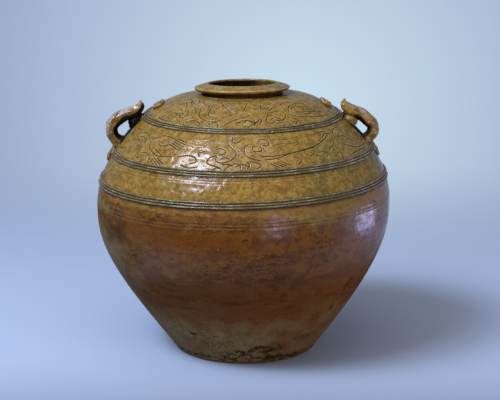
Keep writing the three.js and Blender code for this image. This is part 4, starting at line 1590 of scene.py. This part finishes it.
@dataclass(frozen=True)
class Lug:
    """An arched strap with a snout, the chin that lutes its head, the tail below and the horns above."""

    side: LugSide
    foot_above_band: float = 7.0
    head_below_band: float = 2.1
    arch_rise: float = 18.8
    strap_width: float = 22.0
    strap_thickness: float = 13.6
    snout_reach: float = 12.0
    snout_lift: float = 14.8
    snout_cap: float = 1.1
    chin_below_head: float = 6.6
    chin_size: tuple[float, float, float] = (11.0, 9.6, 12.0)
    tail_above_band: float = 8.4
    tail_below_band: float = 13.1
    tail_width: float = 18.4
    tail_rise: float = 3.68
    horn_above_band: float = 10.9
    curl_radius: float = 6.9
    eye_radius: float = 1.1
    curl_turns: float = 1.2
    horn_spread: float = 9.6
    roll_diameter: float = 4.1
    strap_points: int = 96
    chin_rows: int = 44
    chin_points: int = 64
    tail_rows: int = 72
    tail_points: int = 48
    roll_points: int = 20

    def skin(self, points: np.ndarray, channels: Channels) -> Skin:
        """Turns a piece made for the right side onto this side and settles it with the jar.

        Args:
            points: Grid of its points.
            channels: Its channels, which are brought between 0 and 1.

        Returns:
            The skin.
        """
        facing = self.side.value.facing
        held = {name: np.clip(values, 0, 1) for name, values in channels.items()}
        return Skin(settled(points * np.array([facing, facing, 1])), held)

    def strap(self) -> Skin:
        """The strap: an oval carried along its path, with a hollow pressed in its back and dents all over.

        Returns:
            The skin, rounded off at the snout.
        """
        traits = self.side.value
        foot = side_plane(WALL.slope_at(MIDDLE_BAND + self.foot_above_band))[0]
        head = side_plane(WALL.slope_at(UPPER_BAND - self.head_below_band))[0]
        span = float(np.linalg.norm(head - foot))
        along = (head - foot) / span
        out = np.array([along[2], 0, -along[0]])
        knots = []
        for reach, rise in ARCH:
            rise = rise + traits.fuller * math.exp(-(((reach - 0.4) / 0.25) ** 2))
            knots.append(foot + along * reach * span + out * rise * self.arch_rise)
        for reach, lift in SNOUT:
            knots.append(foot + along * (span + reach * self.snout_reach) + out * lift * self.snout_lift)
        path = smooth_path(np.array(knots), 0.5)
        share = np.linspace(0, 1, len(path))
        heading = unit(np.gradient(path, axis=0))
        outward = np.stack([heading[:, 2], 0 * share, -heading[:, 0]], axis=-1)
        tip = np.linspace(0, math.pi / 2, 6)[1:]
        close = np.concatenate([np.ones(len(share)), np.cos(tip) * 0.96 + 0.04])
        path = np.vstack([path, path[-1] + heading[-1] * self.snout_cap * np.sin(tip)[:, None]])
        outward = np.pad(outward, ((0, len(tip)), (0, 0)), mode="edge")
        share = np.pad(share, (0, len(tip)), mode="edge")
        wide, thick = ((factors * close)[:, None] / 2 for factors in tapers(share, STRAP_TAPER))
        share = share[:, None]
        smear = 1 + 0.22 * ease(share, 0.13, 0.04)
        angle, cosine, sine = oval(self.strap_points, 0.68)
        hollow = 0.09 * bump_at(cosine, 0, 0.5) * (sine > 0) * ease(share, 0.2, 0.32) * ease(share, 0.9, 0.75)
        sideways = cosine * self.strap_width * wide * smear
        outwards = sine * self.strap_thickness * thick * smear * (1 - hollow)
        points = swept(path, (sideways, ACROSS), (outwards, outward[:, None]))
        away = unit(points - path[:, None])
        calm = ease(share, 1.0, 0.85)
        ribs = 0.32 * np.cos(6 * angle + 2.2 * np.sin(7 * share)) * ease(share, 0.06, 0.2)
        seed = traits.seed
        dents = calm * (0.7 * ripple(points, 15, seed) + 0.26 * ripple(points, 5.5, seed + 1) + ribs) - 0.15
        points = points + away * dents[..., None]
        # Pale painted highlights along the strap's edges
        edges = bump_at(np.abs(cosine), 0.86, 0.2) * (sine > -0.2)
        # Painted shade, nearly black, on the strap's underside and inner half; on the right lug the head end
        # is left lit
        rim = -0.42 + 0.3 * ease(share, 0.42, 0.6) + 0.05 * np.sin(23 * share)
        # Painted highlight along the top of the strap, where it faces up
        middle, half_width, strength = traits.crown_highlight
        crown_highlight = strength * ease(sine, 0.05, 0.6) * bump_at(share, middle, half_width)
        jaw = ease(share, 0.77, 0.67) if traits.lit_jaw else 1.0
        dark = ease(sine, rim + 0.07, rim - 0.07) * ease(share, 0.99, 0.93) * jaw
        channels = {
            "burr_and_highlight": edges * (0.4 + 0.6 * ripple(points, 15, seed + 2)),
            "painted_sheen": 0.35 + 0.6 * ripple(points, 22, seed + 3) + crown_highlight,
            "pool_and_shade": dark,
            "bare": 0.9 * dark,
            "rust": 0.4 + 0.8 * ripple(points, 28, seed + 4),
        }
        return self.skin(points, channels)

    def chin(self) -> Skin:
        """The lump under the head: an ellipsoid on the wall, dented by fingers.

        Returns:
            The skin.
        """
        traits = self.side.value
        slope = WALL.slope_at(UPPER_BAND - self.head_below_band - self.chin_below_head)
        seat, along, out = side_plane(slope)
        tall = np.linspace(0.03, math.pi - 0.03, self.chin_rows)[:, None]
        angle = full_circle(self.chin_points)
        ball = np.broadcast_arrays(np.sin(tall) * np.cos(angle), np.sin(tall) * np.sin(angle), np.cos(tall))
        shape = np.stack(ball, axis=-1) * self.chin_size @ np.array([along, ACROSS, out])
        seed = traits.seed + 10
        size = 0.96 + 0.09 * ripple(shape, 9, seed) + 0.03 * ripple(shape, 4, seed + 1)
        points = seat + shape * size[..., None]
        # Painted shade: all over the left chin, on the right one only its upper part, under the head
        dark = ease(shape @ along, 5, 8) if traits.lit_jaw else 1.0
        channels = {
            "rust": traits.chin_rust_and_shade + 0.5 * ripple(points, 12, seed + 2),
            "burr_and_highlight": traits.chin_highlight,
            "pool_and_shade": dark,
            "bare": 0.9 * dark,
        }
        return self.skin(points, channels)

    def tail(self) -> Skin:
        """The leaf down the wall under the strap: ovals with a rib along the middle and lobed edges.

        Returns:
            The skin.
        """
        top = WALL.slope_at(MIDDLE_BAND + self.tail_above_band)
        end = WALL.slope_at(MIDDLE_BAND - self.tail_below_band)
        share = np.linspace(0, 1, self.tail_rows)
        wide, tall = tapers(share, TAIL_TAPER)
        seats, _, outward = side_plane(top + (end - top) * share)
        outward = outward[:, None]
        cosine, sine = oval(self.tail_points)[1:]
        lobes = 1 + 0.12 * np.sin(share * 5 * TURN / 2)[:, None] * np.abs(cosine)
        rib = 1 + 0.18 * bump_at(cosine, 0, 0.25) - 0.12 * bump_at(np.abs(cosine), 0.45, 0.18)
        sideways = cosine * self.tail_width / 2 * wide[:, None] * lobes
        outwards = sine * self.tail_rise * tall[:, None] * rib
        points = swept(seats, (sideways, ACROSS), (outwards, outward))
        seed = self.side.value.seed + 20
        points = points + outward * (0.5 * ripple(points, 6, seed) - 0.25)[..., None]
        channels = {
            "rust": 0.5 + 0.7 * ripple(points, 12, seed + 1),
            # Pale painted highlights on the tail's lumps
            "painted_sheen": 0.4 + 0.8 * ripple(points, 7, seed + 2),
            # Darker along the tail's edges: gathered glaze and painted shade in the crease
            "pool_and_shade": 0.8 * ease(np.abs(cosine), 0.7, 1.0),
        }
        return self.skin(points, channels)

    def horns(self) -> Skin:
        """The roll curled in at both ends: each curl is a spiral whose radius falls evenly with angle.

        Returns:
            The skin.
        """
        share = np.linspace(0, 1, 40)
        radius = self.eye_radius + (self.curl_radius - self.eye_radius) * share
        curls = []
        for side in (1, -1):
            angle = math.pi / 2 + side * (1 - share) * self.curl_turns * TURN
            across = -side * self.horn_spread + radius * np.cos(angle)
            curls.append(np.stack([radius * np.sin(angle), across], axis=-1))
        knots = np.vstack([curls[0][:-1], curls[1][::-1][1:]])
        path = smooth_path(knots[::3], 0.45)
        slope = WALL.slope_at(UPPER_BAND + self.horn_above_band) + path[:, 0]
        azimuth = math.pi / 2 + path[:, 1] / WALL.at(slope)[0]
        centre = WALL.offset(azimuth, slope, 0.16 * self.roll_diameter)
        outward = unit(WALL.offset(azimuth, slope, 3.0) - centre)
        sideways = np.cross(outward, unit(np.gradient(centre, axis=0)))
        cosine, sine = oval(self.roll_points)[1:]
        seed = self.side.value.seed + 30
        half = self.roll_diameter / 2 * (0.95 + 0.09 * ripple(centre, 7, seed))[:, None]
        points = swept(centre, (half * cosine, sideways[:, None]), (half * sine, outward[:, None]))
        channels = {
            # Painted highlight along the roll's top
            "burr_and_highlight": bump_at(sine, 1, 0.25) * (0.5 + 0.5 * ripple(points, 9, seed + 1)),
            # Pale painted highlights on the roll
            "painted_sheen": 0.3 + 0.8 * ripple(points, 12, seed + 2),
            # Painted shade on the roll's side towards the wall
            "pool_and_shade": ease(sine, 0.1, -0.5),
        }
        return self.skin(points, channels)

    def build(self, finishes: Finishes) -> None:
        """Builds and dresses the lug's four pieces.

        Args:
            finishes: Materials by glaze.
        """
        for part, skin, slot in (
            ("handle", self.strap(), "ash_glaze"),
            ("chin", self.chin(), "ash_glaze"),
            ("tail", self.tail(), "bare_stoneware"),
            ("horns", self.horns(), "ash_glaze"),
        ):
            node = f"{self.side.value.name}_lug_{part}"
            dress(skin.build(f"{node}_dressed", finishes[LUG_GLAZE]), slot, node)


# Floor, lamps and camera


@dataclass(frozen=True)
class Lamp:
    """Soft lamp: its place and the width and height of its face in metres, its power and its colour."""

    name: str
    place: tuple[float, float, float]
    size: tuple[float, float]
    watts: float
    colour: str
    shape: str = "RECTANGLE"
    mirrored: bool = True


# A key lamp high on the left, one overhead, cool cards low on the right, and a fill that no glaze mirrors.
LAMPS = (
    Lamp("key_softbox", (-1.25, -0.92, 2.05), (1.3, 0.85), watts=58, colour="#D6E2FF"),
    Lamp("key_softbox_core", (-1.23, -0.905, 2.02), (0.5, 0.3), watts=10, colour="#DCE8FF"),
    Lamp("overhead_softbox", (0.1, -0.7, 2.1), (1.4, 1.0), watts=6, colour="#FFF4E4"),
    Lamp("right_card", (0.64, 0.1, 0.035), (0.24, 0.13), watts=0.48, colour="#BEBEFC", shape="ELLIPSE"),
    Lamp("front_card", (0.5, -1.15, 0.12), (0.26, 0.26), watts=1.45, colour="#CEC9F6", shape="ELLIPSE"),
    Lamp("warm_fill", (1.2, -1.8, 0.5), (1.2, 1.0), watts=11, colour="#FFE7CC", mirrored=False),
)


@dataclass(frozen=True)
class Studio:
    """Pale blue paper under and behind the jar, a large soft lamp on the left and a camera in front.

    Far off, the paper's colour goes with the place in the picture: metres across over metres away, and one
    over metres away. The painted glow there is a spot that is moved and scaled in these two. The painted shade
    on the left is set in the first of them, the painted shade in front and the start of the painted part in
    metres back.
    """

    sheet_metres: tuple[float, float, float] = (8, -4, 14)
    paper: str = "#B5C3D9"
    paper_in_shade: str = "#14151A"
    paper_roughness: float = 0.9
    dark_left: tuple[float, float] = (-0.3, -0.16)
    dark_front: tuple[float, float] = (-0.55, -0.02)
    far_off: tuple[float, float] = (0.25, 1.1)
    room: str = "#C6CEE2"
    room_strength: float = 0.36
    far_paper: str = "#7B89B9"
    far_glow: str = "#CCE1EE"
    far_left: str = "#2A2E38"
    glow_move: tuple[float, float, float] = (-0.115, -0.641, 0)
    glow_scale: tuple[float, float, float] = (3.6, 2.33, 1)
    aim_metres: float = 0.2
    nearest_metres: float = 0.2
    camera_metres: tuple[float, float, float] = (0.0, -2.0, 0.6416)
    pitch_down: float = 13.03
    yaw_right: float = 0.1775
    lens: float = 123.16
    sensor: float = 36.0
    view_end_metres: float = 60.0

    def floor(self) -> None:
        """Large sheet of paper. Near the jar it is plain and takes the shadow, far off it is painted."""
        mesh = bpy.data.meshes.new("paper_floor")
        side, front, back = self.sheet_metres
        rim = [(-side, front, 0), (side, front, 0), (side, back, 0), (-side, back, 0)]
        mesh.from_pydata(rim, [], [range(4)])
        mesh.materials.append(self.paper_material())
        sheet = link(bpy.data.objects.new("paper_floor", mesh))

    def paper_material(self) -> bpy.types.Material:
        """Matt coloured paper with light and shade painted on: far off it glows brighter towards a spot behind
        the jar on the right, and it is painted dark on the left and, near the jar, in front.

        Returns:
            The material.
        """
        made = bpy.data.materials.new("matt_blue_paper")
        tree = empty_tree(made)
        place = add_node(tree, "ShaderNodeTexCoord").outputs["Object"]
        parts = add_node(tree, "ShaderNodeSeparateXYZ", {0: place})
        right, back = parts.outputs[0], parts.outputs[1]
        from_camera = {0: back, 1: -self.camera_metres[1]}
        away = add_node(tree, "ShaderNodeMath", from_camera, operation="ADD").outputs[0]
        held = {0: away, 1: self.nearest_metres}
        away = add_node(tree, "ShaderNodeMath", held, operation="MAXIMUM").outputs[0]
        across = add_node(tree, "ShaderNodeMath", {0: right, 1: away}, operation="DIVIDE").outputs[0]
        nearness = add_node(tree, "ShaderNodeMath", {0: 1.0, 1: away}, operation="DIVIDE").outputs[0]
        spot = add_node(tree, "ShaderNodeCombineXYZ", {0: across, 1: nearness}).outputs[0]
        spread = {"Vector": spot, "Location": self.glow_move, "Scale": self.glow_scale}
        centred = add_node(tree, "ShaderNodeMapping", spread).outputs[0]
        glow = add_node(tree, "ShaderNodeTexGradient", {0: centred}, gradient_type="SPHERICAL").outputs[0]
        steps = []
        for way, span in ((across, self.dark_left), (back, self.dark_front), (back, self.far_off)):
            edge = {0: way, 1: span[0], 2: span[1]}
            step = add_node(tree, "ShaderNodeMapRange", edge, interpolation_type="SMOOTHSTEP")
            steps.append(step.outputs[0])
        lit_side, lit_front, far = steps
        lit = add_node(tree, "ShaderNodeMath", {0: lit_side, 1: lit_front}, operation="MULTIPLY").outputs[0]
        ends = {0: glow, 6: linear(self.far_paper), 7: linear(self.far_glow)}
        even = add_node(tree, "ShaderNodeMix", ends, data_type="RGBA").outputs[2]
        shaded = {0: lit_side, 6: linear(self.far_left), 7: even}
        tone = add_node(tree, "ShaderNodeMix", shaded, data_type="RGBA").outputs[2]
        dyed = {0: lit, 6: linear(self.paper_in_shade), 7: linear(self.paper)}
        near = add_node(tree, "ShaderNodeMix", dyed, data_type="RGBA").outputs[2]
        dull = {"Base Color": near, "Roughness": self.paper_roughness}
        matt = add_node(tree, "ShaderNodeBsdfPrincipled", dull).outputs[0]
        painted = add_node(tree, "ShaderNodeEmission", {"Color": tone, "Strength": 1.0}).outputs[0]
        ray = add_node(tree, "ShaderNodeLightPath").outputs
        rays = {0: ray["Is Camera Ray"], 1: ray["Is Glossy Ray"]}
        seen = add_node(tree, "ShaderNodeMath", rays, operation="MAXIMUM").outputs[0]
        share = add_node(tree, "ShaderNodeMath", {0: far, 1: seen}, operation="MULTIPLY").outputs[0]
        mixed = add_node(tree, "ShaderNodeMixShader", {0: share, 1: matt, 2: painted}).outputs[0]
        add_node(tree, "ShaderNodeOutputMaterial", {"Surface": mixed})
        return made

    def put_up(self, lamp: Lamp) -> None:
        """Puts up a lamp and turns its face to the jar's middle.

        Args:
            lamp: The lamp.
        """
        data = bpy.data.lights.new(lamp.name, "AREA")
        data.shape = lamp.shape
        data.size, data.size_y = lamp.size
        data.energy = lamp.watts
        data.color = linear(lamp.colour)[:3]
        holder = link(bpy.data.objects.new(lamp.name, data))
        holder.location = lamp.place
        aim = np.array([0, 0, self.aim_metres]) - np.array(lamp.place)
        flat = math.hypot(aim[0], aim[1])
        holder.rotation_euler = (math.atan2(flat, -aim[2]), 0, math.atan2(-aim[0], aim[1]))
        holder.visible_camera = False
        holder.visible_glossy = lamp.mirrored

    def light(self) -> None:
        """Puts up the lamps and the pale light of the room."""
        for lamp in LAMPS:
            self.put_up(lamp)
        world = bpy.data.worlds.new("pale_room")
        tree = empty_tree(world)
        glow = {"Color": linear(self.room), "Strength": self.room_strength}
        room = add_node(tree, "ShaderNodeBackground", glow)
        add_node(tree, "ShaderNodeOutputWorld", {"Surface": room.outputs[0]})
        bpy.context.scene.world = world

    def camera(self) -> None:
        """Puts up the camera at the height and angle from which the jar is seen."""
        data = bpy.data.cameras.new("camera")
        data.lens = self.lens
        data.sensor_width = self.sensor
        data.clip_end = self.view_end_metres
        holder = link(bpy.data.objects.new("camera", data))
        holder.location = self.camera_metres
        holder.rotation_euler = (math.radians(90 - self.pitch_down), 0, -math.radians(self.yaw_right))
        bpy.context.scene.camera = holder

    def build(self) -> None:
        """Sets up floor, lamps, camera and the plain view transform."""
        self.floor()
        self.light()
        self.camera()
        bpy.context.scene.view_settings.view_transform = "Standard"


def main() -> None:
    """Loads the frame and builds the sub-assemblies in order."""
    logging.basicConfig(level=logging.INFO, format="%(name)s %(message)s")
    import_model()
    Studio().build()
    finishes = {glaze: glaze.material() for glaze in (ASH_GLAZE, STRIP_GLAZE, IRON_GLAZE, LUG_GLAZE)}
    Walls().build(finishes)
    NeckAndLip().build(finishes)
    for band in BANDS:
        StripBand(*band).build(finishes)
    for side in LugSide:
        Lug(side).build(finishes)


if __name__ == "__main__":
    main()
